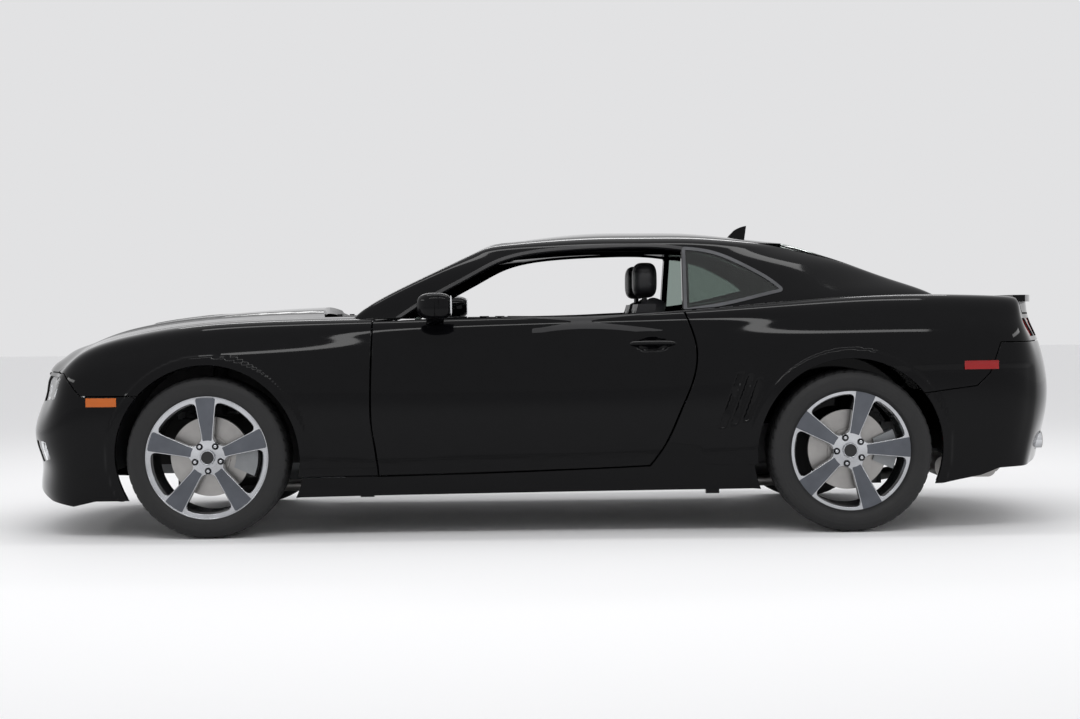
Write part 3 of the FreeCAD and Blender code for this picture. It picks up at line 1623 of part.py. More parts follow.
# Rear suspension frame and half shafts
half_shaft_radius = 18.0
rear_cross_low_z = 240.0
rear_cross_high_z = 292.0
shaft_slot_low_z = 300.0
shaft_slot_high_z = 420.0
half_shaft = rod_y(
    rear_axle_x, tyre_radius, half_shaft_radius,
    drive_half_width + seat_gap, rear_wheel_y + carrier_back_y - seat_gap,
)
model["half_shafts"] = Part.makeCompound([half_shaft, mirrored(half_shaft)])
rear_frame = side_rail(rear_axle_x, rear_floor_height - seat_gap)
shaft_slot = box(
    rear_axle_x - subframe_wall, rear_axle_x + subframe_wall,
    0, side_end, shaft_slot_low_z, shaft_slot_high_z,
)
rear_cross = box(
    rear_axle_x - subframe_wall, rear_axle_x + subframe_wall,
    drive_half_width + seat_gap, subframe_half_y, rear_cross_low_z, rear_cross_high_z,
)
rear_frame = rear_frame.cut(shaft_slot).fuse(rear_cross)
model["rear_subframe"] = Part.makeCompound([rear_frame, mirrored(rear_frame)])

# Dashboard with the column stub
dash_front_x = 870.0
dash_rear_x = 560.0
dash_low_z = 600.0
dash_high_z = 905.0
dash_half_width = kick_half_width - seat_gap
dash_brow = 48.0
dash_sweep = 64.0
dash_face_drop = 96.0
dash_front_drop = 32.0
binnacle_y = 370.0
binnacle_radius = 80.0
dash_middle_x = (dash_front_x + dash_rear_x) / 2
dash_nose = (dash_front_x, dash_high_z - dash_front_drop)
dash_edge = (dash_rear_x + dash_brow, dash_high_z - wall_thickness)
dash_foot = (dash_rear_x + dash_sweep, dash_low_z)
dash_heel = (dash_front_x, dash_low_z - dash_front_drop)
dash_line = [
    [dash_nose, (dash_middle_x, dash_high_z + wall_thickness), dash_edge],
    [dash_edge, (dash_rear_x, dash_high_z - dash_face_drop), dash_foot],
    [dash_foot, dash_heel],
    [dash_heel, dash_nose],
]
dash = side_prism(dash_line, -dash_half_width, dash_half_width)
binnacle_z = dash_high_z - dash_sweep
dash = dash.fuse(
    rod(
        (dash_rear_x + dash_front_drop, binnacle_y, binnacle_z),
        (dash_front_x - 2 * dash_sweep, binnacle_y, binnacle_z),
        binnacle_radius,
    )
)
screen_room = box(
    cowl_rear_x - pillar_depth, nose_end, roof_half_width - clear, side_end,
    cabin_base, roof_height,
)
dash = dash.cut(screen_room).cut(mirrored(screen_room))

# Console with the gear lever
console_rear_x = -420.0
console_front_x = dash_foot[0] - clear
console_half_width = 110.0
console_x_shares = [1.0, 0.0, 0.0, 0.3, 0.55, 0.6, 1.0]
console_heights = [
    tunnel_top_z + seat_gap, tunnel_top_z + seat_gap, 552.0, 508.0, 508.0, 540.0, 524.0,
]
lever_foot_share = 0.35
lever_top_share = 0.38
lever_foot_z = 492.0
lever_top_z = 620.0
lever_radius = 8.0
knob_radius = 25.6
console_places = [
    (mix(console_front_x, console_rear_x, share), z)
    for share, z in zip(console_x_shares, console_heights)
]
console = side_prism(ring(console_places), -console_half_width, console_half_width)
lever_foot = (mix(console_front_x, console_rear_x, lever_foot_share), 0, lever_foot_z)
lever_top = (mix(console_front_x, console_rear_x, lever_top_share), 0, lever_top_z)
lever = rod(lever_foot, lever_top, lever_radius)
knob = Part.makeSphere(knob_radius, V(*lever_top))
model["centre_console"] = joined([console, lever, knob])

# Front seats: cushion, back, head rest on two posts, and the box under the cushion
seat_y = 385.0
seat_half_width = 250.0
seat_back_half_width = 235.0
pedestal_half_width = 175.0
seat_front_x = 260.0
seat_rear_x = -300.0
seat_cushion_z = 470.0
seat_base_z = floor_height + floor_thickness / 2 + floor_thickness + seat_gap
seat_back_top_z = 1020.0
rest_top_z = 1205.0
rest_half_width = 130.0
rest_round = 33.6
post_radius = 8.4
back_lean = 190.0
lean_middle = 66.5
back_depth = 120.0
bolster = 42.0
seat_heel_z = seat_cushion_z - 4 * bolster
seat_edge_z = seat_cushion_z - bolster
seat_back_x = seat_rear_x + bolster
rest_x = seat_rear_x - back_lean


def seat_cushion(y0, y1):
    nose = (seat_front_x - bolster / 2, seat_heel_z + bolster / 2)
    heel = (seat_rear_x - bolster, seat_heel_z)
    rear = (seat_rear_x, seat_edge_z)
    front = (seat_front_x, seat_cushion_z)
    middle = ((seat_rear_x + seat_front_x) / 2, seat_cushion_z - bolster / 2)
    lip = (seat_front_x + bolster, seat_cushion_z - 2 * bolster)
    line = [[rear, middle, front], [front, lip, nose], [nose, heel], [heel, rear]]
    return side_prism(line, y0, y1)


def seat_back(y0, y1):
    middle_z = (seat_cushion_z + seat_back_top_z) / 2
    foot = (seat_back_x, seat_edge_z)
    front = (seat_rear_x - lean_middle, middle_z)
    brow = (rest_x + bolster, seat_back_top_z)
    crown = (rest_x - bolster, seat_back_top_z)
    rear = (seat_rear_x - back_depth - lean_middle, middle_z - bolster)
    heel = (seat_rear_x - back_depth, seat_heel_z)
    line = [[foot, front, brow], [brow, crown], [crown, rear, heel], [heel, foot]]
    return side_prism(line, y0, y1)


rest = box(
    rest_x - bolster, rest_x + bolster, seat_y - rest_half_width, seat_y + rest_half_width,
    seat_back_top_z + bolster, rest_top_z,
)
rest = rest.makeFillet(rest_round, rest.Edges)
pedestal = box(
    seat_back_x, seat_front_x - 2 * bolster,
    seat_y - pedestal_half_width, seat_y + pedestal_half_width,
    seat_base_z, seat_heel_z + 2 * bolster / 3,
)
front_seat = joined(
    [
        seat_cushion(seat_y - seat_half_width, seat_y + seat_half_width),
        seat_back(seat_y - seat_back_half_width, seat_y + seat_back_half_width),
        rest,
        pedestal,
    ]
)
for post_y in (seat_y - rest_half_width / 2, seat_y + rest_half_width / 2):
    front_seat = front_seat.fuse(
        rod_z(rest_x, post_y, post_radius, seat_back_top_z - bolster, seat_back_top_z + 2 * bolster)
    )
model["front_seats"] = Part.makeCompound([front_seat, mirrored(front_seat)])

# Rear bench
bench_front_x = -600.0
bench_rear_x = seat_bulkhead_x + wall_thickness
bench_z = 440.0
bench_top_z = 930.0
bench_half_width = 590.0
bench_lean = 90.0
bench_back_depth = 234.0


def bench_floor_z(x):
    """Height of the sloped floor's top under the bench, with the seating gap."""
    share = (heel_rear_x - x) / (heel_rear_x - seat_bulkhead_x)
    return floor_height + mix(heel_rise, bench_rise, share) + floor_thickness + seat_gap


bench_nose_x = bench_front_x - bolster
bench_heel_x = bench_rear_x + bolster
bench_ring = ring(
    [
        (bench_nose_x, bench_floor_z(bench_nose_x)),
        (bench_heel_x, bench_floor_z(bench_heel_x)),
        (bench_rear_x + bolster / 4, bench_top_z),
        (bench_rear_x + bench_lean, bench_top_z + bolster / 2),
        (bench_rear_x + bench_back_depth, bench_z),
        (bench_front_x, bench_z + bolster),
    ]
)
bench = side_prism(bench_ring, 0, bench_half_width)
bench = bench.cut(
    box(nose_end, tail_end, 0, tunnel_half_width + clear, 0, tunnel_top_z + clear)
)
bench = bench.cut(
    wheel_hole(rear_axle_x, arch_room + wheelhouse_wall + clear, house_floor_y - clear, side_end)
)
model["rear_seat"] = both_halves(bench)

# Steering wheel on its column
wheel_centre = V(505.0, 370.0, 790.0)
wheel_radius = 182.0
grip_radius = 15.0
boss_radius = 54.0
column_angle = 22.0
column_radius = 26.0
column_length = 96.0
bar_half_width = 17.0


def on_column(shape):
    """Shape made about the X axis, tilted and carried to the centre of the steering wheel."""
    shape.rotate(V(0, 0, 0), V(0, 1, 0), column_angle)
    shape.translate(wheel_centre)
    return shape


steering_wheel = joined(
    [
        Part.makeTorus(wheel_radius, grip_radius, V(0, 0, 0), V(1, 0, 0)),
        rod((0, 0, 0), (2 * grip_radius, 0, 0), boss_radius),
        box(0, grip_radius, -wheel_radius, wheel_radius, -bar_half_width, bar_half_width),
        box(0, grip_radius, -bar_half_width, bar_half_width, -wheel_radius, 0),
    ]
)
model["steering_wheel"] = on_column(steering_wheel)
column_start = 2 * grip_radius + seat_gap
column = rod((column_start, 0, 0), (column_start + column_length, 0, 0), column_radius)
model["dashboard"] = dash.fuse(on_column(column))

# Door mirrors
mirror_x = 438.0
mirror_y = 971.0
mirror_z = 1021.0
mirror_half_x = 105.0
mirror_half_y = 72.0
mirror_half_z = 60.0
mirror_face_share = -0.55
mirror_nose_share = 1.0
mirror_cheek_x_share = 0.3
mirror_cheek_share = 0.88
mirror_corner_shares = (0.86, 0.72)
mirror_root_y = 842.0
mirror_root_low_z = 900.0
mirror_root_high_z = 957.0
mirror_neck_y = 915.0
mirror_neck_low_z = 948.0
mirror_neck_high_z = 985.0
stalk_rear_x = 396.0
stalk_front_x = 520.0
corner_y = mirror_half_y * mirror_corner_shares[0]
corner_z = mirror_half_z * mirror_corner_shares[1]
mirror_face_x = mirror_x + mirror_half_x * mirror_face_share
mirror_nose_x = mirror_x + mirror_half_x * mirror_nose_share
mirror_cheek_x = mirror_x + mirror_half_x * mirror_cheek_x_share


def bulged(middle, half):
    """Outline of the shell from its flat face round its bulged nose."""
    low_end = (mirror_face_x, middle - half)
    high_end = (mirror_face_x, middle + half)
    bulge = [
        high_end,
        (mirror_cheek_x, middle + half * mirror_cheek_share),
        (mirror_nose_x, middle),
        (mirror_cheek_x, middle - half * mirror_cheek_share),
        low_end,
    ]
    return [bulge, [low_end, high_end]]


mirror_left_end = (mirror_y - mirror_half_y, mirror_z)
mirror_right_end = (mirror_y + mirror_half_y, mirror_z)
mirror_oval = []
for ends, side_sign in (
    ((mirror_left_end, mirror_right_end), -1),
    ((mirror_right_end, mirror_left_end), 1),
):
    flank = [
        (mirror_y + side_sign * corner_y, mirror_z + side_sign * corner_z),
        (mirror_y, mirror_z + side_sign * mirror_half_z),
        (mirror_y - side_sign * corner_y, mirror_z + side_sign * corner_z),
    ]
    mirror_oval.append([ends[0]] + flank + [ends[1]])
mirror_shell = front_prism(mirror_oval, mirror_face_x, mirror_nose_x)
mirror_shell = mirror_shell.common(plan_prism(bulged(mirror_y, mirror_half_y), 0, 2 * mirror_z))
mirror_shell = mirror_shell.common(side_prism(bulged(mirror_z, mirror_half_z), 0, side_end))
stalk_ring = ring(
    [
        (mirror_root_y, mirror_root_low_z),
        (mirror_neck_y, mirror_neck_low_z),
        (mirror_y, mirror_neck_high_z),
        (mirror_y, mirror_z),
        (mirror_neck_y, mirror_z - clear),
        (mirror_root_y, mirror_root_high_z),
    ]
)
stalk = front_prism(stalk_ring, stalk_rear_x, stalk_front_x).cut(door_slab)
model["mirror_left"] = biggest(mirror_shell.fuse(stalk))

# Lip spoiler on the lid
spoiler_front_x = -2150.0
spoiler_tip_x = -2356.0
spoiler_top_z = 1043.0
spoiler_low_z = 1012.0
spoiler_half_width = 584.0
spoiler_middle_y = 330.0
spoiler_middle_sweep = 46.0
spoiler_end_sweep = 130.0
spoiler_front_sweep = 20.0
spoiler_tail = (spoiler_tip_x, 0)
spoiler_bow = (spoiler_tip_x + spoiler_middle_sweep, spoiler_middle_y)
spoiler_end = (spoiler_tip_x + spoiler_end_sweep, spoiler_half_width)
spoiler_corner = (spoiler_front_x - spoiler_front_sweep, spoiler_half_width)
spoiler_nose = (spoiler_front_x, 0)
spoiler_plan = [
    [spoiler_tail, spoiler_bow, spoiler_end],
    [spoiler_end, spoiler_corner],
    [spoiler_corner, spoiler_nose],
    [spoiler_nose, spoiler_tail],
]
spoiler_half = plan_prism(spoiler_plan, spoiler_low_z, spoiler_top_z).cut(outer_body)
model["spoiler"] = both_halves(biggest(spoiler_half))

# Side markers, almost flush
marker_proud = 2.0
marker_places = {
    "front_markers": (1879.0, 2017.0, 591.0, 630.0),
    "rear_markers": (-2026.0, -1870.0, 715.0, 753.0),
}
proud_body = half_solid(inset_rows(body_rows, -marker_proud)).cut(outer_body)
for name, (x0, x1, z0, z1) in marker_places.items():
    marker = biggest(proud_body.common(box(x0, x1, half_width / 2, side_end, z0, z1)))
    model[name] = Part.makeCompound([marker, mirrored(marker)])

# Hood hinges between cowl and hood
hood_pivot_x = 1000.0
hood_pivot_z = 946.0
hood_hinge_y = 560.0
hood_pin_radius = 5.0
hood_lug_radius = 11.0
hood_lug_half = 12.0
hood_cheek = 8.0
hood_cheek_half_x = 7.0
hood_cheek_low_z = 890.0
hood_lug = rod_y(
    hood_pivot_x, hood_pivot_z, hood_lug_radius,
    hood_hinge_y - hood_lug_half, hood_hinge_y + hood_lug_half,
)
hood_post = box(
    hood_pivot_x - hood_lug_radius, hood_pivot_x + hood_lug_radius,
    hood_hinge_y - hood_lug_half, hood_hinge_y + hood_lug_half, hood_pivot_z, roof_height,
)
hood_post = hood_post.common(outer_body).cut(hood_skin)
hood_bore = rod_y(hood_pivot_x, hood_pivot_z, hood_pin_radius + pin_clearance, 0, side_end)
hood_half = biggest(hood_half).fuse(hood_lug.fuse(hood_post).cut(hood_bore))
model["hood"] = both_halves(biggest(hood_half))
cheek_reach = hood_lug_half + clear
pin_reach = cheek_reach + hood_cheek
firewall = firewall.fuse(
    rod_y(
        hood_pivot_x, hood_pivot_z, hood_pin_radius,
        hood_hinge_y - pin_reach, hood_hinge_y + pin_reach,
    )
)
for side_sign in (-1, 1):
    firewall = firewall.fuse(
        box(
            hood_pivot_x - hood_cheek_half_x, hood_pivot_x + hood_cheek_half_x,
            hood_hinge_y + side_sign * cheek_reach, hood_hinge_y + side_sign * pin_reach,
            hood_cheek_low_z, hood_pivot_z + hood_pin_radius,
        )
    )
model["firewall"] = biggest(both_halves(firewall))

# Lid hinge pins in the gap ahead of the lid
lid_pin_radius = 3.0
lid_pin_y = 480.0
lid_pin_half = 22.0
lid_pin_x = lid_pin_radius + pin_clearance - lid_front_x


def surface_height(x, y):
    """Height of the lower body's top over a place in plan."""
    upright = Part.makeLine(V(x, y, body_base), V(x, y, roof_height))
    return max(vertex.Z for vertex in outer_body.common(upright).Vertexes)


lid_pin_z = surface_height(lid_pin_x, lid_pin_y) - lid_pin_radius
pin_y0 = lid_pin_y - lid_pin_half
pin_y1 = lid_pin_y + lid_pin_half
lid_pin = rod_y(lid_pin_x, lid_pin_z, lid_pin_radius, pin_y0, pin_y1)
lid_web = box(
    lid_pin_x, lid_edge_x + seat_gap, pin_y0, pin_y1, lid_pin_z - lid_pin_radius, lid_pin_z
)
deck_half = biggest(deck_half).fuse(lid_pin).fuse(lid_web)
model["deck_panel"] = biggest(both_halves(deck_half))

# Wipers at rest on the cowl
wiper_radius = 6.0
wiper_post_x = 930.0
wiper_post_ys = [470.0, -120.0]
wiper_reach = 520.0
wiper_sweep = 24.0
wiper_z = 978.0
post_radius_wiper = 2 * wiper_radius
foot_share = (wiper_post_x - post_radius_wiper - cowl_rear_x) / (hood_corner_x - cowl_rear_x)
wiper_foot_z = mix(cowl_top_z, cowl_front_z, foot_share) + seat_gap
wipers = []
for post_y in wiper_post_ys:
    post = rod_z(
        wiper_post_x, post_y, post_radius_wiper, wiper_foot_z, wiper_z + 2 * wiper_radius
    )
    arm = rod(
        (wiper_post_x, post_y, wiper_z),
        (wiper_post_x - wiper_sweep, post_y - wiper_reach, wiper_z),
        wiper_radius,
    )
    wipers.append(post.fuse(arm))
model["wipers"] = Part.makeCompound(wipers)

# The right-hand pieces mirror the left-hand ones
for name in list(model):
    if name.endswith("_left"):
        model[name.replace("left", "right")] = mirrored(model[name])

os.makedirs("parts", exist_ok=True)
for name, shape in model.items():
    shape.exportStep("parts/" + name + ".step")
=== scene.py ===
# %% [markdown]
# # A black two-door muscle coupe
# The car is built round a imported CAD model. That model gives every body its place and its
# joints, so nothing here has to be lined up by hand. The big panels, wheels, lamps and seats
# are then made again as smooth surfaces worked out with numpy, and get real finishes.

# %% Load the CAD frame
import json
import math
import bpy
import numpy as np
from mathutils import Matrix


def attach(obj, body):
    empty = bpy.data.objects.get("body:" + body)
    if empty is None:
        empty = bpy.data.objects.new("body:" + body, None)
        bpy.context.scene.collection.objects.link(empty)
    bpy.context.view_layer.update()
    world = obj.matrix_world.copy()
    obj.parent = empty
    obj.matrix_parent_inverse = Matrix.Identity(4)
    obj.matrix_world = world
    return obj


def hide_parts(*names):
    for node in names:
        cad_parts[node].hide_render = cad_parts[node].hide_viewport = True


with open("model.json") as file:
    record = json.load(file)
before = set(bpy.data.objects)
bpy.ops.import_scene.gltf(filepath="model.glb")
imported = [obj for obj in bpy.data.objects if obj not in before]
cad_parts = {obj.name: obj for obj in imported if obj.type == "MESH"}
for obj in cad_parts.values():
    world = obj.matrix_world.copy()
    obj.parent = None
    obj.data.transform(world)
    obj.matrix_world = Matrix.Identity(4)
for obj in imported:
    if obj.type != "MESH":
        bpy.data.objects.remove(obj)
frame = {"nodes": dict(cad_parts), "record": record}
nodes = frame["nodes"]
scene = bpy.context.scene
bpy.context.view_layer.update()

# %% [markdown]
# ## Body surface
# The lower body is one smooth sheet through seventeen upright stations, from the nose round the
# left side to the tail, and ten levels, from the sills to the ridge over the middle. The cabin is
# a second sheet of fourteen stations and eight levels. A cubic spline joins the rows both ways,
# so reflections run over the panels without a break. The real skin is pressed from sheet metal
# in large tools. A subdivided cage could stand for it, but its corners show in glossy black, so
# the spline sheet was chosen. The named shares are those of the CAD.

# %% Rows of the lower body
half_length = 2.418
half_width = 0.959
roof_height = 1.366
body_base = 0.060
clearance = 0.180
crown_level, shoulder_level, last_station = 6, 5, 16
brow_x_share, shoulder_share = 0.852, 0.45
nose_shares = [0.964, 0.9925, 0.989, 1.0, 0.982, 0.977, 0.966, 0.955, 0.939, 0.923]
tail_shares = [0.951, 0.968, 0.986, 1.0, 0.986, 0.966, 0.9615, 0.947, 0.9305, 0.916]
side_x_shares = [0.864, 0.744, 0.613, 0.447, 0.248, 0.0, -0.207, -0.393, -0.566, -0.724, -0.868]
ridge_x_shares = [
    0.923, 0.906, 0.877, 0.831, 0.744, 0.613, 0.447, 0.248, 0.0,
    -0.207, -0.393, -0.566, -0.724, -0.827, -0.873, -0.902, -0.916,
]
side_y_shares = [
    0.0, 0.42, 0.75, 0.925, 0.965, 0.985, 0.985, 0.975, 0.970,
    0.975, 0.990, 1.0, 0.985, 0.930, 0.75, 0.42, 0.0,
]
crown_y_shares = [
    0.0, 0.38, 0.66, 0.80, 0.835, 0.85, 0.86, 0.88, 0.89,
    0.89, 0.875, 0.85, 0.83, 0.79, 0.66, 0.38, 0.0,
]
crown_z_shares = [
    0.560, 0.556, 0.548, 0.606, 0.659, 0.690, 0.700, 0.703, 0.709,
    0.717, 0.736, 0.758, 0.763, 0.754, 0.747, 0.751, 0.754,
]
ridge_z_shares = [
    0.615, 0.626, 0.641, 0.665, 0.699, 0.725, 0.742, 0.747, 0.750,
    0.754, 0.758, 0.761, 0.764, 0.7635, 0.762, 0.7615, 0.761,
]
plan_drop_shares = [0.0, 0.020, 0.062]
tuck_shares = [0.10, 0.075, 0.030, 0.0, 0.008]
level_z_shares = [0.0, 0.0, 0.23, 0.49, 0.75, 0.90, 1.0]
top_mix_shares = [0.0, 0.36, 0.80, 1.0]
top_x_shares = [0.0, 0.30, 0.65, 1.0]
top_y_shares = [1.0, 0.80, 0.44, 0.0]


def mix(a, b, share):
    """The value that share of the way from a to b."""
    return a + (b - a) * share


def body_x(k, j):
    """Lengthwise place of station k at level j, with the nose and the tail bowed in plan."""
    if k <= 2:
        return half_length * (nose_shares[j] - plan_drop_shares[k])
    if k >= last_station - 2:
        return half_length * (plan_drop_shares[last_station - k] - tail_shares[j])
    if k == 3 and j == crown_level:
        return half_length * brow_x_share
    return half_length * side_x_shares[k - 3]


def body_place(k, j):
    """One named place of the lower body: station k, level j."""
    side_y = half_width * side_y_shares[k]
    crown_y = half_width * crown_y_shares[k]
    crown_z = roof_height * crown_z_shares[k]
    if j == 0:
        return (body_x(k, j), side_y * (1 - tuck_shares[j]), body_base)
    if j < crown_level:
        z = mix(clearance, crown_z, level_z_shares[j])
        if j == shoulder_level:
            return (body_x(k, j), mix(side_y, crown_y, shoulder_share), z)
        return (body_x(k, j), side_y * (1 - tuck_shares[j]), z)
    t = j - crown_level
    x = mix(body_x(k, crown_level), half_length * ridge_x_shares[k], top_x_shares[t])
    z = mix(crown_z, roof_height * ridge_z_shares[k], top_mix_shares[t])
    return (x, crown_y * top_y_shares[t], z)


body_rows = np.array([[body_place(k, j) for j in range(10)] for k in range(17)])
print("lower body rows", body_rows.shape, "from z", body_rows[..., 2].min())

# %% Rows of the cabin
cabin_base = 0.880
screen_x_shares = [0.372, 0.352, 0.294, 0.210, 0.147, 0.112, 0.087, 0.062]
screen_z_shares = [0.0, 0.719, 0.791, 0.8675, 0.919, 0.952, 0.966, 0.975]
pillar_x_shares = [0.355, 0.327, 0.265, 0.178, 0.120, 0.079, 0.056, 0.037]
roof_z_shares = [0.0, 0.714, 0.791, 0.871, 0.930, 0.970, 0.991, 1.0]
back_x_shares = [-0.825, -0.797, -0.703, -0.600, -0.525, -0.480, -0.451, -0.421]
back_z_shares = [0.0, 0.752, 0.818, 0.8785, 0.921, 0.947, 0.960, 0.970]
back_corner_x_shares = [-0.775, -0.744, -0.662, -0.575, -0.509, -0.467, -0.442, -0.414]
pillar_y_shares = [0.875, 0.830, 0.785, 0.720, 0.655, 0.570, 0.310, 0.0]
roof_y_shares = [0.940, 0.888, 0.820, 0.740, 0.677, 0.585, 0.320, 0.0]
back_y_shares = [0.720, 0.660, 0.600, 0.560, 0.520, 0.460, 0.250, 0.0]
cabin_step_shares = [0.15, 0.33, 0.50, 0.66, 0.79, 0.90]
cabin_width_shares = [0.45, 1.0, 1.0, 0.92, 0.72, 0.42]
cabin_height_shares = [0.60, 1.0, 1.0, 0.95, 0.68, 0.32]
window_y_shares = [0.0, 0.45, 0.85]
window_drop_shares = [0.0, 0.20, 0.72]


def cabin_place(k, j):
    """One named place of the cabin: station k, level j."""
    front_z, top_z, back_z = (
        roof_height * s[j] for s in (screen_z_shares, roof_z_shares, back_z_shares)
    )
    front_y, side_y, back_y = (
        half_width * s[j] for s in (pillar_y_shares, roof_y_shares, back_y_shares)
    )
    pillar_x = half_length * pillar_x_shares[j]
    corner_x = half_length * back_corner_x_shares[j]
    if k <= 2:
        x = mix(half_length * screen_x_shares[j], pillar_x, window_drop_shares[k])
        place = (x, front_y * window_y_shares[k], front_z)
    elif k == 3:
        place = (pillar_x, front_y, front_z)
    elif k < 10:
        s = k - 4
        end_y, end_z = (front_y, front_z) if s < 2 else (back_y, back_z)
        place = (
            mix(pillar_x, corner_x, cabin_step_shares[s]),
            mix(end_y, side_y, cabin_width_shares[s]),
            mix(end_z, top_z, cabin_height_shares[s]),
        )
    elif k == 10:
        place = (corner_x, back_y, back_z)
    else:
        w = 13 - k
        x = mix(half_length * back_x_shares[j], corner_x, window_drop_shares[w])
        place = (x, back_y * window_y_shares[w], back_z)
    return (place[0], place[1], cabin_base) if j == 0 else place


cabin_rows = np.array([[cabin_place(k, j) for j in range(8)] for k in range(14)])
print("cabin rows", cabin_rows.shape, "up to z", cabin_rows[..., 2].max())

# %% Spline weights and the sheet
small = 1e-12
tiny_step = 1e-3


def unit(v):
    """Vectors made one long, taken along the last axis."""
    return v / np.maximum(np.linalg.norm(v, axis=-1, keepdims=True), small)


def spline_weights(t, n, start_flat, end_flat):
    """Weights W with value(t) = W @ values, for a cubic spline on whole-number knots 0..n.

    On each span, with s the share along it and m the second derivatives, the value is
    (1-s) a + s b + ((1-s)^3 - (1-s)) m_a / 6 + (s^3 - s) m_b / 6.
    """
    left = np.zeros((n + 1, n + 1))
    right_side = np.zeros((n + 1, n + 1))
    for i in range(1, n):
        left[i, i - 1:i + 2] = (1, 4, 1)
        right_side[i, i - 1:i + 2] = (6, -12, 6)
    left[0, 0] = left[n, n] = 1.0
    if start_flat:
        left[0, :2] = (2, 1)
        right_side[0, :2] = (-6, 6)
    if end_flat:
        left[n, n - 1:] = (1, 2)
        right_side[n, n - 1:] = (6, -6)
    second = np.linalg.solve(left, right_side)
    span = np.clip(np.floor(t).astype(int), 0, n - 1)
    s = t - span
    flat = np.eye(n + 1)
    a, b = flat[span], flat[span + 1]
    m_a, m_b = second[span], second[span + 1]
    near, far = (1 - s)[:, None], s[:, None]
    return near * a + far * b + (near**3 - near) / 6 * m_a + (far**3 - far) / 6 * m_b


def sheet_places(rows, u, v):
    """Places of the sheet at paired parameters u (stations) and v (levels).

    Rows may be a function of u and v instead of a table.
    """
    if callable(rows):
        return rows(u, v)
    n, m = rows.shape[0] - 1, rows.shape[1] - 1
    u, v = np.clip(u, 0, n), np.clip(v, 0, m)
    u_flat = spline_weights(u, n, True, True)
    u_free = spline_weights(u, n, False, False)
    v_flat = spline_weights(v, m, False, True)
    v_free = spline_weights(v, m, False, False)
    x = np.einsum("pi,ij,pj->p", u_flat, rows[:, :, 0], v_flat, optimize=True)
    y = np.einsum("pi,ij,pj->p", u_free, rows[:, :, 1], v_free, optimize=True)
    z = np.einsum("pi,ij,pj->p", u_flat, rows[:, :, 2], v_flat, optimize=True)
    return np.stack([x, y, z], axis=1)


def limits(rows):
    """Lowest parameter and the highest u and v."""
    if callable(rows):
        return -1e9, 1e9, 1e9
    return 0.0, rows.shape[0] - 1.0, rows.shape[1] - 1.0


def sheet_normals(rows, u, v):
    """Outward unit normals: the cross product of the two small steps along the sheet."""
    low, n, m = limits(rows)
    along = (sheet_places(rows, np.minimum(u + tiny_step, n), v)
             - sheet_places(rows, np.maximum(u - tiny_step, low), v))
    across = (sheet_places(rows, u, np.minimum(v + tiny_step, m))
              - sheet_places(rows, u, np.maximum(v - tiny_step, low)))
    return unit(np.cross(along, across))

# %% [markdown]
# ## Panels cut from the sheets
# On the real car each panel is a pressing with a folded edge, hung with an even gap. Booleans
# could cut one from the sheet, but their edges shade badly.
# A panel is the part of a sheet where a field is positive. The field is the smallest of several
# signed distances: to a seam drawn from the side, from ahead or from above, to a wheel arch, to
# the other sheet. Grid places next to the outline are slid onto it along the grid, so the gaps
# between panels come out as clean even lines. A rolled edge then gives each panel its depth.

# %% Fields
def curve(points, steps=8):
    """A natural cubic spline through the points; two points stay a straight stretch."""
    points = np.array(points, float)
    n = len(points) - 1
    if n < 2:
        return points
    t = np.linspace(0, n, n * steps + 1)
    return spline_weights(t, n, False, False) @ points


def outline(*stretches):
    """One closed ring from stretches that share their ends."""
    return np.concatenate([curve(s)[:-1] for s in stretches])


def ring_distance(a, b, ring):
    """Signed distance in the plane from (a, b) to the ring: positive inside, negative outside.

    It is the least distance to any side, with the sign given by how often a level ray crosses.
    """
    place = np.stack([a, b], axis=1)[:, None, :]
    start = ring[None]
    side = np.roll(ring, -1, axis=0)[None] - start
    share = np.clip(((place - start) * side).sum(2) / (side**2).sum(2), 0, 1)
    gap = np.linalg.norm(place - start - share[..., None] * side, axis=2).min(1)
    z0, z1 = ring[:, 1], np.roll(ring[:, 1], -1)
    x0, x1 = ring[:, 0], np.roll(ring[:, 0], -1)
    rise = np.where(z1 == z0, small, z1 - z0)
    cross = x0 + (b[:, None] - z0) * (x1 - x0) / rise
    hits = ((z0 > b[:, None]) != (z1 > b[:, None])) & (a[:, None] < cross)
    return np.where(hits.sum(1) % 2 == 1, gap, -gap)


def from_side(p, ring):
    """Distance inside a ring drawn as seen from the side."""
    return ring_distance(p[:, 0], p[:, 2], ring)


def from_ahead(p, ring):
    """Distance inside a ring drawn as seen from ahead, the same on both sides."""
    return ring_distance(np.abs(p[:, 1]), p[:, 2], ring)


def from_above(p, ring):
    """Distance inside a ring drawn as seen from above, the same on both sides."""
    return ring_distance(p[:, 0], np.abs(p[:, 1]), ring)


def shares(x_shares, z_shares):
    """Side-view places from shares of the half length and of the roof's height."""
    return [(half_length * x, roof_height * z) for x, z in zip(x_shares, z_shares)]


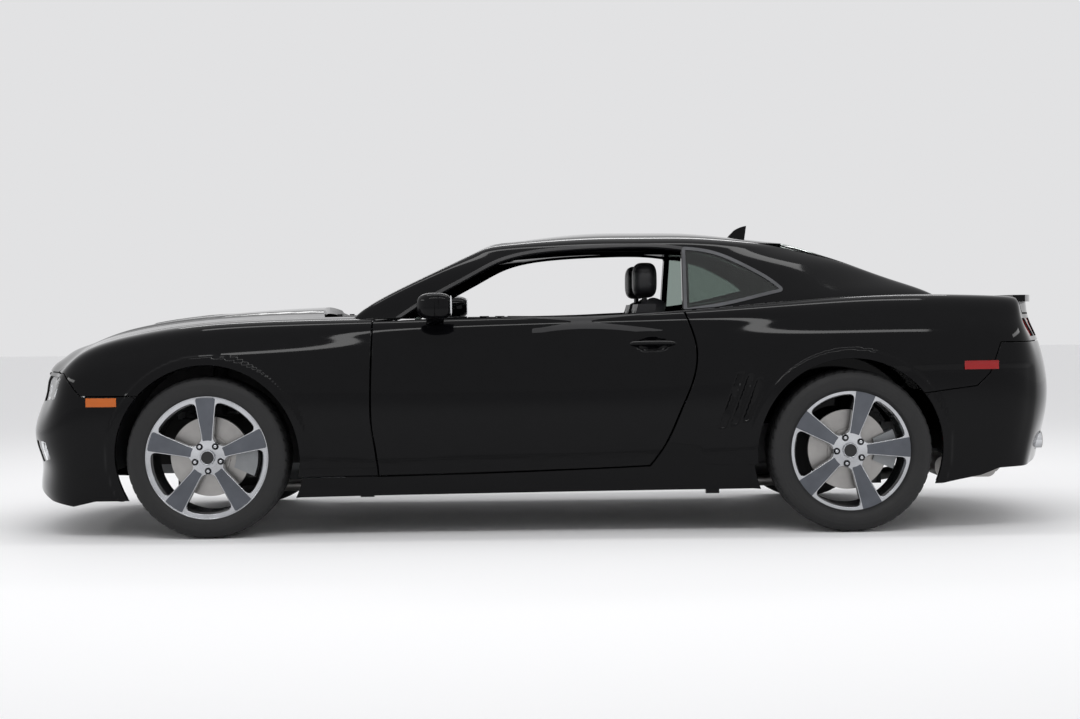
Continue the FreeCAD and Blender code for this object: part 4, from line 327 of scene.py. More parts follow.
door_front = shares([0.3081, 0.3089, 0.3106, 0.3040, 0.2990],
                    [0.6991, 0.5754, 0.3873, 0.2899, 0.1962])
door_bottom = shares([0.2990, -0.0331, -0.1981], [0.1962, 0.2094, 0.2204])
door_rear = shares([-0.1981, -0.2299, -0.2543, -0.2767, -0.2845, -0.2775, -0.2634],
                   [0.2204, 0.3045, 0.4019, 0.4985, 0.5893, 0.6545, 0.7225])
door_top = shares([-0.2634, -0.1472, -0.0364, 0.1514, 0.3081],
                  [0.7225, 0.7167, 0.7108, 0.7072, 0.6991])
door_ring = outline(door_front, door_bottom, door_rear, door_top)
light_top = shares([0.2643, 0.2072, 0.1315, 0.0744, -0.0012, -0.1141, -0.2084, -0.2672],
                   [0.7035, 0.7687, 0.8411, 0.8931, 0.9231, 0.9356, 0.9370, 0.9268])
light_base = shares([-0.2634, -0.1472, -0.0364, 0.1514, 0.2581],
                    [0.7225, 0.7167, 0.7108, 0.7079, 0.7042])
light_ring = outline(light_top, [light_top[-1], light_base[0]], light_base,
                     [light_base[-1], light_top[0]])
quarter_top = shares([-0.2738, -0.3027, -0.3404, -0.3871, -0.4247, -0.4467],
                     [0.9253, 0.9195, 0.9019, 0.8624, 0.8228, 0.7906])
quarter_base = shares([-0.4467, -0.3962, -0.3395, -0.2709], [0.7906, 0.7701, 0.7482, 0.7299])
quarter_ring = outline(quarter_top, quarter_base, [quarter_base[-1], quarter_top[0]])
edge_line = np.array(shares(
    [-1.02, -0.983, -0.967, -0.938, -0.844, -0.811, -0.738, -0.389,
     0.445, 0.826, 0.870, 0.918, 0.985, 1.02],
    [0.330, 0.266, 0.2247, 0.205, 0.198, 0.176, 0.152, 0.139,
     0.127, 0.120, 0.102, 0.115, 0.158, 0.163],
))
far = half_length + 0.4
hood_back_x, hood_nose_y, past_middle = 1.027, 0.560, -0.6
hood_side = [(half_length * x, half_width * y) for x, y in
             zip([0.4032, 0.6203, 0.8271], [0.7195, 0.6966, 0.6382])] + [(far, hood_nose_y)]
hood_corner = hood_side[0]
hood_rear = [(hood_back_x, 0.0), (mix(hood_back_x, hood_corner[0], 0.25), hood_corner[1] / 2),
             hood_corner]
hood_ring = np.concatenate([
    curve(hood_rear)[:-1], curve(hood_side)[:-1],
    [(far, hood_nose_y), (far, past_middle), (hood_back_x, past_middle)],
])
front_seam = np.array([(1.650, 0.635), (2.045, 0.635), (2.135, 0.736), (far, 0.736),
                       (far, 0.0), (1.650, 0.0)])
rear_seam = np.array(shares([-0.6617, -0.7982, -0.8234, -0.8441],
                            [0.4392, 0.4685, 0.5110, 0.6091])
                     + [(-far, roof_height * 0.6091), (-far, 0.0), (-0.6617 * half_length, 0.0)])
grille_ring = np.array([(-0.470, 0.608), (-0.430, 0.588), (0.430, 0.588), (0.470, 0.608),
                        (0.470, 0.724), (-0.470, 0.724)])
intake_ring = np.array([(-0.460, 0.262), (0.460, 0.262), (0.500, 0.436), (-0.500, 0.436)])
lamp_ring = np.array([(0.496, 0.604), (0.806, 0.624), (0.806, 0.720), (0.496, 0.720)])
fog_ring = np.array([(0.600, 0.330), (0.770, 0.350), (0.770, 0.430), (0.600, 0.430)])
screen_ring = np.array([(-0.732, 0.980), (0.732, 0.980), (0.500, 1.306), (-0.500, 1.306)])
back_ring = np.array([(-0.540, 1.062), (0.540, 1.062), (0.496, 1.292), (-0.496, 1.292)])
axles = (1.483, -1.369)
wheel_z = 0.360
arch_radius = 0.410
seam, door_gap, hood_gap, glass_gap, lid_gap, lamp_gap = 0.004, 0.0075, 0.006, 0.003, 0.0115, 0.0005
roof_half, lid_front = 0.528, -1.938
print("door", np.ptp(door_ring, axis=0).round(3), "window", np.ptp(light_ring, axis=0).round(3))


def least(*fields):
    """Smallest of the fields at each place: what is inside all of them."""
    return np.minimum.reduce(fields)


def clear_of_arches(p):
    """Distance outside both wheel arches."""
    return least(*[np.hypot(p[:, 0] - a, p[:, 2] - wheel_z) - arch_radius for a in axles])


def above_edge(p):
    """Height over the slanted lower edge of the body."""
    return p[:, 2] - np.interp(p[:, 0], edge_line[:, 0], edge_line[:, 1])


# %% Height of each sheet over the ground plan
newton_steps = 7
nowhere_z = 0.3


def sheet_at(rows, x, y, u, v, low_v):
    """Place of a sheet over (x, y), by Newton's steps in its two parameters from a first guess."""
    step = tiny_step
    top_u, top_v = rows.shape[0] - 1.001, rows.shape[1] - 1.001
    for _ in range(newton_steps):
        here = sheet_places(rows, u, v)
        du = (sheet_places(rows, u + step, v) - here) / step
        dv = (sheet_places(rows, u, v + step) - here) / step
        miss_x, miss_y = x - here[:, 0], y - here[:, 1]
        det = du[:, 0] * dv[:, 1] - dv[:, 0] * du[:, 1]
        det = np.where(np.abs(det) < 1e-7, 1e-7, det)
        u = np.clip(u + np.clip((miss_x * dv[:, 1] - miss_y * dv[:, 0]) / det, -1, 1), 0, top_u)
        v = np.clip(v + np.clip((miss_y * du[:, 0] - miss_x * du[:, 1]) / det, -1, 1), low_v, top_v)
    return sheet_places(rows, u, v)


def height_table(rows, low_v, x_line, y_line):
    """Heights on a plan grid, to be read by straight interpolation; nowhere_z off the sheet."""
    gx, gy = np.meshgrid(x_line, y_line, indexing="ij")
    x, y = gx.ravel(), gy.ravel()
    n, m = rows.shape[0] - 1, rows.shape[1] - 1
    samples_u, samples_v = np.meshgrid(np.linspace(0, n, 90), np.linspace(low_v, m, 60),
                                       indexing="ij")
    su, sv = samples_u.ravel(), samples_v.ravel()
    known = sheet_places(rows, su, sv)
    best = np.empty(len(x), int)
    for start in range(0, len(x), 2000):
        part = slice(start, start + 2000)
        gap = (x[part, None] - known[None, :, 0])**2 + (y[part, None] - known[None, :, 1])**2
        best[part] = gap.argmin(1)
    found = sheet_at(rows, x, y, su[best], sv[best], low_v)
    miss = np.hypot(found[:, 0] - x, found[:, 1] - y)
    return np.where(miss < 0.004, found[:, 2], nowhere_z).reshape(gx.shape)


def over_table(p, table, x_line, y_line):
    """Height of a place over the tabled sheet, mixed from the table's four nearest entries."""
    x, y = p[:, 0], np.abs(p[:, 1])
    i = np.clip((x - x_line[0]) / (x_line[1] - x_line[0]), 0, len(x_line) - 1.001)
    j = np.clip((y - y_line[0]) / (y_line[1] - y_line[0]), 0, len(y_line) - 1.001)
    a, b = i.astype(int), j.astype(int)
    s, t = i - a, j - b
    return p[:, 2] - ((1 - s) * (1 - t) * table[a, b] + s * (1 - t) * table[a + 1, b]
                      + (1 - s) * t * table[a, b + 1] + s * t * table[a + 1, b + 1])


plan_x = np.linspace(-2.2, 1.2, 171)
plan_y = np.linspace(0.0, 0.96, 49)
body_table = height_table(body_rows, 3.4, plan_x, plan_y)
cabin_table = height_table(cabin_rows, 0.0, plan_x, plan_y)
print("tables", body_table.shape, "highest", body_table.max().round(3), cabin_table.max().round(3))


def over_body(p):
    """Height of a place over the lower body, for the cabin's lower edge."""
    return over_table(p, body_table, plan_x, plan_y)


def outside_cabin(p):
    """Height of a place over the cabin sheet, for the lower body's upper edge."""
    return over_table(p, cabin_table, plan_x, plan_y)


# %% Panels


def even_line(rows, fixed, low, high, along_u, cell):
    """Parameters spaced so that neighbouring places lie about one cell apart."""
    t = np.linspace(low, high, 400)
    other = np.full(400, fixed)
    line = sheet_places(rows, t, other) if along_u else sheet_places(rows, other, t)
    run = np.concatenate([[0], np.cumsum(np.linalg.norm(np.diff(line, axis=0), axis=1))])
    count = max(3, int(round(run[-1] / cell)) + 1)
    return np.interp(np.linspace(0, run[-1], count), run, t)


def still(p):
    """No relief."""
    return np.zeros(len(p))


def raised(height):
    """A relief of the same height everywhere."""
    return lambda p: np.full(len(p), height)


def panel_mesh(rows, window, field, relief, cell, depth=0.018, roll=0.0025, closed=False):
    """Vertices, faces and normals of one panel.

    The grid covers window = (u0, u1, v0, v1). Each grid edge that the outline crosses has its
    nearer end slid onto the crossing; faces with every corner inside are kept, and corners of
    three become triangles. Places are then moved along the normal by relief. Three more rings
    roll the outline inward by a quarter circle of radius roll and down to depth. Half panels
    stay open along the car's middle, and closed ones where the window's ends meet.
    """
    u0, u1, v0, v1 = window
    lines_u = even_line(rows, (v0 + v1) / 2, u0, u1, True, cell)
    lines_v = even_line(rows, (u0 + u1) / 2, v0, v1, False, cell)
    u, v = np.meshgrid(lines_u, lines_v, indexing="ij")
    shape = u.shape
    g = field(sheet_places(rows, u.ravel(), v.ravel())).reshape(shape)
    best = np.full(shape, 9.0)
    new_u, new_v = u.copy(), v.copy()
    for axis in (0, 1):
        near = [slice(None), slice(None)]
        next_to = [slice(None), slice(None)]
        near[axis], next_to[axis] = slice(0, -1), slice(1, None)
        near, next_to = tuple(near), tuple(next_to)
        a, b = g[near], g[next_to]
        cut = (a > 0) != (b > 0)
        s = np.where(cut, a / np.where(a == b, 1, a - b), 0.5)
        for mine, other, share in ((near, next_to, s), (next_to, near, 1 - s)):
            take = cut & (share <= 0.5) & (share < best[mine])
            best[mine] = np.where(take, share, best[mine])
            new_u[mine] = np.where(take, mix(u[mine], u[other], share), new_u[mine])
            new_v[mine] = np.where(take, mix(v[mine], v[other], share), new_v[mine])
    on_line = best < 1
    state = np.where(on_line, 0, np.where(g > 0, 1, -1))
    number = np.arange(u.size).reshape(shape)
    corners = np.stack(
        [number[:-1, :-1], number[1:, :-1], number[1:, 1:], number[:-1, 1:]], axis=2
    )
    marks = state.ravel()[corners]
    out = (marks < 0).sum(2)
    full = (out == 0) & (marks.max(2) > 0)
    quads = corners[full]
    one = corners[(out == 1) & (marks.max(2) > 0)]
    lost = (state.ravel()[one] < 0).argmax(1)
    pick = (lost[:, None] + np.array([1, 2, 3])) % 4
    tris = np.take_along_axis(one, pick, axis=1)
    flat_u, flat_v = new_u.ravel(), new_v.ravel()

    def placed(a, b):
        """Places of the sheet with the relief on."""
        base = sheet_places(rows, a, b)
        return base + sheet_normals(rows, a, b) * relief(base)[:, None]

    used = np.unique(np.concatenate([quads.ravel(), tris.ravel()]))
    index = np.full(u.size, -1)
    index[used] = np.arange(len(used))
    quads, tris = index[quads], index[tris]
    uu, vv = flat_u[used], flat_v[used]
    places = placed(uu, vv)
    step = 2e-3
    low, n, m = limits(rows)
    along = placed(np.minimum(uu + step, n), vv) - placed(np.maximum(uu - step, low), vv)
    across = placed(uu, np.minimum(vv + step, m)) - placed(uu, np.maximum(vv - step, low))
    normals = unit(np.cross(along, across))
    # the outline's edges belong to one face only
    edges = np.concatenate([np.stack([quads[:, i], quads[:, (i + 1) % 4]], 1) for i in range(4)]
                           + [np.stack([tris[:, i], tris[:, (i + 1) % 3]], 1) for i in range(3)])
    key = np.sort(edges, axis=1)
    code = key[:, 0] * np.int64(len(used)) + key[:, 1]
    _, first, count = np.unique(code, return_index=True, return_counts=True)
    rim = edges[first[count == 1]]
    if closed:
        rim = rim[np.abs(uu[rim].mean(1) - (u0 + u1) / 2) < (u1 - u0) / 2 - 1e-6]
    else:
        rim = rim[np.abs(places[rim].mean(1)[:, 1]) > 1e-4]
    rim_ids = np.unique(rim)
    base = sheet_places(rows, uu[rim_ids], vv[rim_ids])
    slope = np.stack([field(base + d) - field(base - d) for d in np.eye(3) * 2e-4], axis=1)
    n_rim = normals[rim_ids]
    slope -= (slope * n_rim).sum(1, keepdims=True) * n_rim
    size = np.linalg.norm(slope, axis=1, keepdims=True)
    outward = np.where(size > 1e-9, -slope / np.maximum(size, 1e-9), 0)
    rings = [places.copy()]
    ring_normals = [normals]
    edge_place = places[rim_ids].copy()
    rings[0][rim_ids] = edge_place - outward * roll
    for turn in (math.radians(45), math.radians(90)):
        rings.append(edge_place - outward * roll * (1 - math.sin(turn))
                     - n_rim * roll * (1 - math.cos(turn)))
        ring_normals.append(n_rim * math.cos(turn) + outward * math.sin(turn))
    rings.append(edge_place - n_rim * depth)
    ring_normals.append(outward)
    spot = np.full(len(used), -1)
    spot[rim_ids] = np.arange(len(rim_ids))
    row_start = [0, len(used), len(used) + len(rim_ids), len(used) + 2 * len(rim_ids)]
    walls = []
    for r in range(3):
        low = rim if r == 0 else spot[rim] + row_start[r]
        high = spot[rim] + row_start[r + 1]
        walls.append(np.stack([low[:, 1], low[:, 0], high[:, 0], high[:, 1]], 1))
    quads = np.concatenate([quads] + walls)
    return np.concatenate(rings), quads, tris, np.concatenate(ring_normals)


def joined_parts(parts):
    """Several (vertices, quads, triangles, normals) as one."""
    shift, verts, quads, tris, normals = 0, [], [], [], []
    for v, q, t, n in parts:
        verts.append(v)
        normals.append(n)
        quads.append(q + shift)
        tris.append(t + shift)
        shift += len(v)
    return (np.concatenate(verts), np.concatenate(quads), np.concatenate(tris),
            np.concatenate(normals))


def other_hand(part):
    """The part mirrored in the plane y = 0, with its faces turned round."""
    v, q, t, n = part
    flip = np.array([1.0, -1.0, 1.0])
    return v * flip, q[:, ::-1], t[:, ::-1], n * flip


def make_object(name, part, material, body, replaced=()):
    """Blender object from numpy arrays, riding its CAD body."""
    v, q, t, n = part
    mesh = bpy.data.meshes.new(name)
    count = len(q) * 4 + len(t) * 3
    mesh.vertices.add(len(v))
    mesh.vertices.foreach_set("co", v.astype(np.float32).ravel())
    mesh.loops.add(count)
    corners = np.concatenate([q.ravel(), t.ravel()])
    mesh.loops.foreach_set("vertex_index", corners.astype(np.int32))
    mesh.polygons.add(len(q) + len(t))
    starts = np.concatenate([np.arange(len(q)) * 4, len(q) * 4 + np.arange(len(t)) * 3])
    mesh.polygons.foreach_set("loop_start", starts.astype(np.int32))
    mesh.polygons.foreach_set("use_smooth", np.full(len(q) + len(t), True))
    mesh.update(calc_edges=True)
    mesh.validate()
    mesh.normals_split_custom_set_from_vertices(n.astype(np.float32))
    mesh.materials.append(material)
    obj = bpy.data.objects.new(name, mesh)
    scene.collection.objects.link(obj)
    if replaced:
        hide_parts(*replaced)
    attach(obj, body)
    print(name, len(q) + len(t), "faces on", body)
    return obj


def make_pair(name, part, material, body, replaced=None):
    """The left piece and its mirror image; each takes the body and the node of its own side."""
    made = []
    for side, shape in (("left", part), ("right", other_hand(part))):
        rides = body if body == "body" else f"{body}_{side}"
        old = [f"{replaced}_{side}"] if replaced else []
        made.append(make_object(f"{name}_{side}", shape, material, rides, old))
    return made

# %% [markdown]
# ## Camera
# The photograph shows the car's left side from about 8.6 m away, from a little below the roof.
# A 65 mm lens on a 36 mm sensor gives the same perspective. The horizon leans by under one
# degree, so the camera is rolled by as much about its own line of sight.

# %% Camera
eye = np.array([0.003, 9.535, 0.990])
pitch = math.radians(1.4)
roll = math.radians(0.66)
back = np.array([0.0, math.cos(pitch), math.sin(pitch)])
level_right = np.array([-1.0, 0.0, 0.0])
level_up = np.cross(back, level_right)
camera = bpy.data.objects.new("camera", bpy.data.cameras.new("camera"))
camera.data.lens, camera.data.sensor_width, camera.data.clip_end = 65.0, 36.0, 60.0
stand = np.eye(4)
stand[:3, 0] = level_right * math.cos(roll) - level_up * math.sin(roll)
stand[:3, 1] = level_up * math.cos(roll) + level_right * math.sin(roll)
stand[:3, 2] = back
stand[:3, 3] = eye
camera.matrix_world = Matrix(stand.tolist())
scene.collection.objects.link(camera)
scene.camera = camera
scene.view_settings.view_transform = "Standard"
print("camera at", eye, "lens", camera.data.lens)

# %% [markdown]
# ## Floor and light
# A plain pale floor and a world of the same tone stand in for the studio. Long soft lamps over
# the car draw the thin bright lines along its shoulders that make black paint readable.

# %% Floor and world
pale = (0.80, 0.80, 0.81, 1.0)
floor_tone, floor_rough = (0.93, 0.93, 0.935, 1.0), 0.75
lit_strength, seen_strength = 0.92, 0.95


def node_tree(name):
    """A new material with its node tree and its Principled shader."""
    material = bpy.data.materials.new(name)
    material.use_nodes = True
    tree = material.node_tree
    shader = tree.nodes["Principled BSDF"]
    return material, tree, shader


floor_mesh = bpy.data.meshes.new("studio_floor")
reach = 40.0
floor_mesh.from_pydata(
    [(-reach, -reach, 0), (reach, -reach, 0), (reach, reach, 0), (-reach, reach, 0)],
    [], [(0, 1, 2, 3)],
)
floor = bpy.data.objects.new("studio_floor", floor_mesh)
scene.collection.objects.link(floor)
floor_material, _, floor_shader = node_tree("studio_floor")
floor_shader.inputs["Base Color"].default_value = floor_tone
floor_shader.inputs["Roughness"].default_value = floor_rough
floor_mesh.materials.append(floor_material)

world = bpy.data.worlds.new("studio")
scene.world = world
world.use_nodes = True
world_nodes, link = world.node_tree.nodes, world.node_tree.links.new
lit_shade = world_nodes["Background"]
seen_shade = world_nodes.new("ShaderNodeBackground")
for shade, strength in ((lit_shade, lit_strength), (seen_shade, seen_strength)):
    shade.inputs["Color"].default_value = pale
    shade.inputs["Strength"].default_value = strength
ray = world_nodes.new("ShaderNodeLightPath")
seen, through = (world_nodes.new("ShaderNodeMath") for _ in range(2))
seen.operation = through.operation = "MAXIMUM"
world_mix = world_nodes.new("ShaderNodeMixShader")
link(ray.outputs["Is Camera Ray"], seen.inputs[0])
link(ray.outputs["Is Glossy Ray"], seen.inputs[1])
link(seen.outputs[0], through.inputs[0])
link(ray.outputs["Is Transmission Ray"], through.inputs[1])
for socket, source in enumerate((through, lit_shade, seen_shade)):
    link(source.outputs[0], world_mix.inputs[socket])
link(world_mix.outputs[0], world_nodes["World Output"].inputs[0])

# %% Lamps
lamp_places = [
    ("key_lamp", (0.0, 4.2, 4.6), (0.0, 0.0, 0.6), (6.5, 0.40), 75.0),
    ("top_lamp", (0.0, 0.0, 5.2), (0.0, 0.0, 0.0), (5.5, 0.60), 60.0),
    ("far_lamp", (0.0, -4.6, 4.2), (0.0, 0.0, 0.6), (6.5, 0.40), 50.0),
    ("nose_lamp", (6.5, 1.5, 3.0), (1.6, 0.0, 0.6), (2.5, 0.35), 22.0),
    ("tail_lamp", (-6.5, 1.5, 3.0), (-1.6, 0.0, 0.6), (2.5, 0.35), 22.0),
]
for lamp_name, place, aim, span, watts in lamp_places:
    light = bpy.data.lights.new(lamp_name, "AREA")
    light.shape = "RECTANGLE"
    light.size, light.size_y = span
    light.energy = watts
    lamp = bpy.data.objects.new(lamp_name, light)
    toward = unit(np.array(aim) - np.array(place))
    across = np.cross(toward, (0.0, 0.0, 1.0))
    straight_down = np.linalg.norm(across) < 1e-3
    across = np.array([1.0, 0.0, 0.0]) if straight_down else unit(across)
    turn = np.eye(4)
    turn[:3, 0], turn[:3, 2] = across, -toward
    turn[:3, 1] = np.cross(-toward, across)
    turn[:3, 3] = place
    lamp.matrix_world = Matrix(turn.tolist())
    scene.collection.objects.link(lamp)
    print(lamp_name, watts, "W")

# %% [markdown]
# ## Finishes
# Black paint is nearly a dark mirror, the trim is satin plastic, the seats are leather and the
# wheels are painted and polished metal. Image textures could hold their wear, but noise needs no
# file. Every finish reads the Object coordinates, so its grain keeps its real size in metres. A
# helper adds a noise that shifts the colour and the roughness a little and raises a fine bump.

# %% Finish helper
wear_waves, tone_shift, dust_span, usual_ior = 14.0, 0.25, 0.004, 1.45


def grain_noise(tree, scale, detail):
    """Noise over Object coordinates; scale counts waves to the metre."""
    place = tree.nodes.new("ShaderNodeTexCoord")
    noise = tree.nodes.new("ShaderNodeTexNoise")
    noise.inputs["Scale"].default_value = scale
    noise.inputs["Detail"].default_value = detail
    tree.links.new(place.outputs["Object"], noise.inputs["Vector"])
    return noise


def ranged(tree, source, low, high):
    """Maps 0 to 1 onto low to high."""
    node = tree.nodes.new("ShaderNodeMapRange")
    node.inputs["To Min"].default_value = low
    node.inputs["To Max"].default_value = high
    tree.links.new(source, node.inputs["Value"])
    return node.outputs["Result"]


def finish(name, colour, rough, metal, grain, bump, ior=usual_ior):
    """Paint, metal or plastic: colour and roughness a quarter up and down, with a grain bump."""
    material, tree, shader = node_tree(name)
    shader.inputs["Metallic"].default_value = metal
    shader.inputs["IOR"].default_value = ior
    broad = grain_noise(tree, wear_waves, 6.0)
    tint = tree.nodes.new("ShaderNodeMix")
    tint.data_type = "RGBA"
    tint.inputs["A"].default_value = [c * (1 - tone_shift) for c in colour] + [1.0]
    tint.inputs["B"].default_value = [min(1.0, c * (1 + tone_shift)) for c in colour] + [1.0]
    least_rough, most_rough = rough * (1 - tone_shift), rough * (1 + tone_shift)
    roughness = ranged(tree, broad.outputs["Fac"], least_rough, most_rough)
    tree.links.new(broad.outputs["Fac"], tint.inputs["Factor"])
    tree.links.new(tint.outputs["Result"], shader.inputs["Base Color"])
    tree.links.new(roughness, shader.inputs["Roughness"])
    small_grain = grain_noise(tree, grain, 3.0)
    bumps = tree.nodes.new("ShaderNodeBump")
    bumps.inputs["Strength"].default_value = 0.6
    bumps.inputs["Distance"].default_value = bump
    tree.links.new(small_grain.outputs["Fac"], bumps.inputs["Height"])
    tree.links.new(bumps.outputs["Normal"], shader.inputs["Normal"])
    return material


def glassy(name, colour, rough=0.0, amount=1.0):
    """Clear or tinted sheet: a Principled shader that lets light through."""
    material, tree, shader = node_tree(name)
    shader.inputs["Base Color"].default_value = (*colour, 1.0)
    shader.inputs["Transmission Weight"].default_value = amount
    shader.inputs["IOR"].default_value = usual_ior
    dust = grain_noise(tree, 30.0, 5.0)
    roughness = ranged(tree, dust.outputs["Fac"], rough, rough + dust_span)
    tree.links.new(roughness, shader.inputs["Roughness"])
    return material


# %% Paint, trim, rubber, metals
paint = finish("black_paint", (0.0022, 0.0022, 0.0027), 0.055, 0.0, 700.0, 0.000004, ior=1.24)
frame_grey = finish("frame_grey", (0.075, 0.077, 0.082), 0.36, 0.5, 1500.0, 0.0001)
trim = finish("satin_trim", (0.012, 0.012, 0.013), 0.42, 0.0, 1400.0, 0.0002)
grained = finish("grained_plastic", (0.017, 0.017, 0.018), 0.62, 0.0, 900.0, 0.0008)
tyre_rubber = finish("tyre_rubber", (0.009, 0.009, 0.0095), 0.60, 0.0, 260.0, 0.0005)
wheel_grey = finish("wheel_grey", (0.105, 0.112, 0.128), 0.30, 0.8, 1800.0, 0.00003)
wheel_silver = finish("wheel_silver", (0.50, 0.51, 0.53), 0.20, 1.0, 900.0, 0.00004)
bright = finish("bright_metal", (0.62, 0.63, 0.65), 0.16, 1.0, 1600.0, 0.00005)
cast = finish("cast_alloy", (0.30, 0.31, 0.32), 0.55, 0.8, 240.0, 0.0012)
chassis = finish("chassis_black", (0.016, 0.016, 0.017), 0.55, 0.0, 420.0, 0.0006)
steel = finish("worn_steel", (0.36, 0.35, 0.34), 0.36, 1.0, 700.0, 0.0003)
leather = finish("black_leather", (0.014, 0.014, 0.016), 0.42, 0.0, 620.0, 0.0009)
dark_glass = glassy("tinted_glass", (0.30, 0.36, 0.33))
clear = glassy("clear_lens", (0.93, 0.95, 0.97))
red_lens = glassy("red_lens", (0.55, 0.012, 0.014), rough=0.04, amount=0.55)
amber_lens = glassy("amber_lens", (0.85, 0.19, 0.02), rough=0.06, amount=0.45)

# %% Give every CAD node its finish
node_finish = {
    "body_paint": paint, "dark_trim": trim, "glass": dark_glass, "clear_lens": clear,
    "red_lens": red_lens, "amber_lens": amber_lens, "tyre_rubber": tyre_rubber,
    "wheel_paint": wheel_grey, "disc_iron": steel, "chassis_steel": chassis,
    "raw_steel": steel, "cast_metal": cast, "cabin_plastic": grained, "seat_leather": leather,
}
for row in frame["record"]["subparts"]:
    mesh = nodes[row["node"]].data
    mesh.materials.clear()
    mesh.materials.append(node_finish[row["material_slot"]])
for name, material in (("wheel_liners", grained), ("floor_pan", chassis)):
    nodes[name].data.materials[0] = material

# %% [markdown]
# ## Shape of the panels
# Relief adds what the big sheets leave out: a tucked-in rocker under a crease, a raised lip round
# each wheel arch, three slanted scoops ahead of the rear wheel, the hollow behind each door handle
# and the dome of the hood. They could be sculpted, but a formula keeps both sides alike. Each is
# a smooth step of a signed distance.

# %% Relief


def ramp(t):
    """Smooth step from 0 to 1 for t from 0 to 1: 3 t^2 - 2 t^3."""
    t = np.clip(t, 0, 1)
    return t * t * (3 - 2 * t)


crease_x = np.array([-0.960, -0.879, -0.081, 0.407, 0.718, 1.085])
crease_z = np.array([0.392, 0.381, 0.364, 0.356, 0.346, 0.364])
scoop_xs = (-0.842, -0.889, -0.936)
scoop_tops = (0.718, 0.706, 0.690)
scoop_feet = (0.462, 0.476, 0.492)
scoop_lean = -0.35
handle_x, handle_z = -0.497, 0.846
rocker_in, lip_out, scoop_in, handle_in, shoulder_in = 0.011, 0.007, 0.012, 0.016, 0.006
dome_up, vent_up = 0.009, 0.004


def side_relief(p):
    """Rocker tuck, arch lips, scoops and handle hollow, in metres along the normal."""
    x, y, z = p[:, 0], np.abs(p[:, 1]), p[:, 2]
    on_side = ramp((y - 0.80) / 0.05)
    between = ramp((x + 0.985) / 0.02) * ramp((1.10 - x) / 0.02)
    line = np.interp(x, crease_x, crease_z)
    move = -rocker_in * ramp((line - z) / 0.022) * between
    for a in axles:
        d = np.hypot(x - a, z - wheel_z) - arch_radius
        move = move + lip_out * (1 - ramp((d - 0.034) / 0.016))
    for x0, top, foot in zip(scoop_xs, scoop_tops, scoop_feet):
        s = x - x0 - scoop_lean * (z - 0.59)
        across = ramp((s + 0.022) / 0.022) * ramp((0.020 - s) / 0.014)
        ends = ramp((top - z) / 0.020) * ramp((z - foot) / 0.020)
        move = move - scoop_in * across * ends
    r = np.hypot((x - handle_x) / 0.085, (z - handle_z + 0.004) / 0.036)
    move = move - handle_in * ramp((1.0 - r) / 0.55)
    tail_line = np.interp(x, [-2.2, -1.87, -1.529, -1.45], [0.742, 0.742, 0.737, 0.737])
    shoulder = ramp((-1.46 - x) / 0.10) * ramp((tail_line - z) / 0.030)
    return (move - shoulder_in * shoulder) * on_side


def hood_relief(p):
    """A raised middle between two creases that spread toward the windscreen, with a soft front."""
    x, y = p[:, 0], np.abs(p[:, 1])
    half = np.interp(x, [1.0, 1.6, 2.25], [0.470, 0.375, 0.255])
    dome = ramp((half - y) / 0.055) * ramp((2.26 - x) / 0.34)
    vent = ramp((0.155 - y) / 0.012) * ramp((x - 1.44) / 0.16) * ramp((1.86 - x) / 0.012)
    return dome_up * dome + vent_up * vent


# %% [markdown]
# ## Outlines of the panels
# Every panel of the real car ends at a seam, a window, a lamp or an arch. The outlines could be
# drawn as curves and knifed into the mesh. A field for each edge was chosen instead: a panel is
# then the least of its fields, and two neighbours share one ring, so their gap stays even.

# %% Fields of the panels
tail_x = -1.9
shelf_half, shelf_low = 0.592, 0.962
tongue_half, tongue_low = 0.372, 0.840
tail_lamps = ((0.0774, 0.471), (0.0804, 0.654))
lamp_low, lamp_high = 0.856, 0.936
tip_y, tip_z, tip_hole = 0.560, 0.376, 0.044
plate_half, plate_low, plate_high = 0.175, 0.630, 0.770
fender_low, fender_foot_x, fender_back_x, fender_back_z = 0.268, 0.7525, 0.7155, 0.955
cowl_x, cowl_half = 0.981, 0.696
sill_low, sill_front_x = 0.262, 0.7005
roof_front_z, roof_rear_z, hood_low = 1.310, 1.296, 0.740
deck_low, deck_high, deck_front_x = 0.95, 1.058, -1.790
elsewhere = 1.0


def in_box(p, y_half, low_z, high_z, middle_y=0.0):
    """Positive inside an upright oblong seen from ahead."""
    middle_z, half_z = (low_z + high_z) / 2, (high_z - low_z) / 2
    return least(y_half - np.abs(np.abs(p[:, 1]) - middle_y),
                 half_z - np.abs(p[:, 2] - middle_z))


def door_field(p):
    """The door's own outline, kept to the outer half of the sheet."""
    return least(from_side(p, door_ring), p[:, 1] - 0.5)


def off_windows(p):
    """Outside the side windows."""
    return least(-from_side(p, light_ring), -from_side(p, quarter_ring) - glass_gap)


def off_door(p):
    """Outside the door and its gap."""
    return -from_side(p, door_ring) - door_gap


def off_hood(p):
    """Outside the hood and its gap."""
    return -from_above(p, hood_ring) - hood_gap


def off_lid(p):
    """Outside the trunk lid's shelf and the tongue that it sends down to the plate."""
    y, z = np.abs(p[:, 1]), p[:, 2]
    behind = p[:, 0] - (lid_front + lid_gap)
    return least(*[np.maximum(np.maximum(y - half, low - z), behind)
                   for half, low in ((shelf_half + 0.006, shelf_low - 0.006),
                                     (tongue_half + 0.006, tongue_low - 0.010))])


def off_tail_lamps(p):
    """Outside the two square tail lamps."""
    lamps = [in_box(p, half, lamp_low, lamp_high, middle) for half, middle in tail_lamps]
    return np.where(p[:, 0] < tail_x, -np.maximum(*lamps) - lamp_gap, elsewhere)


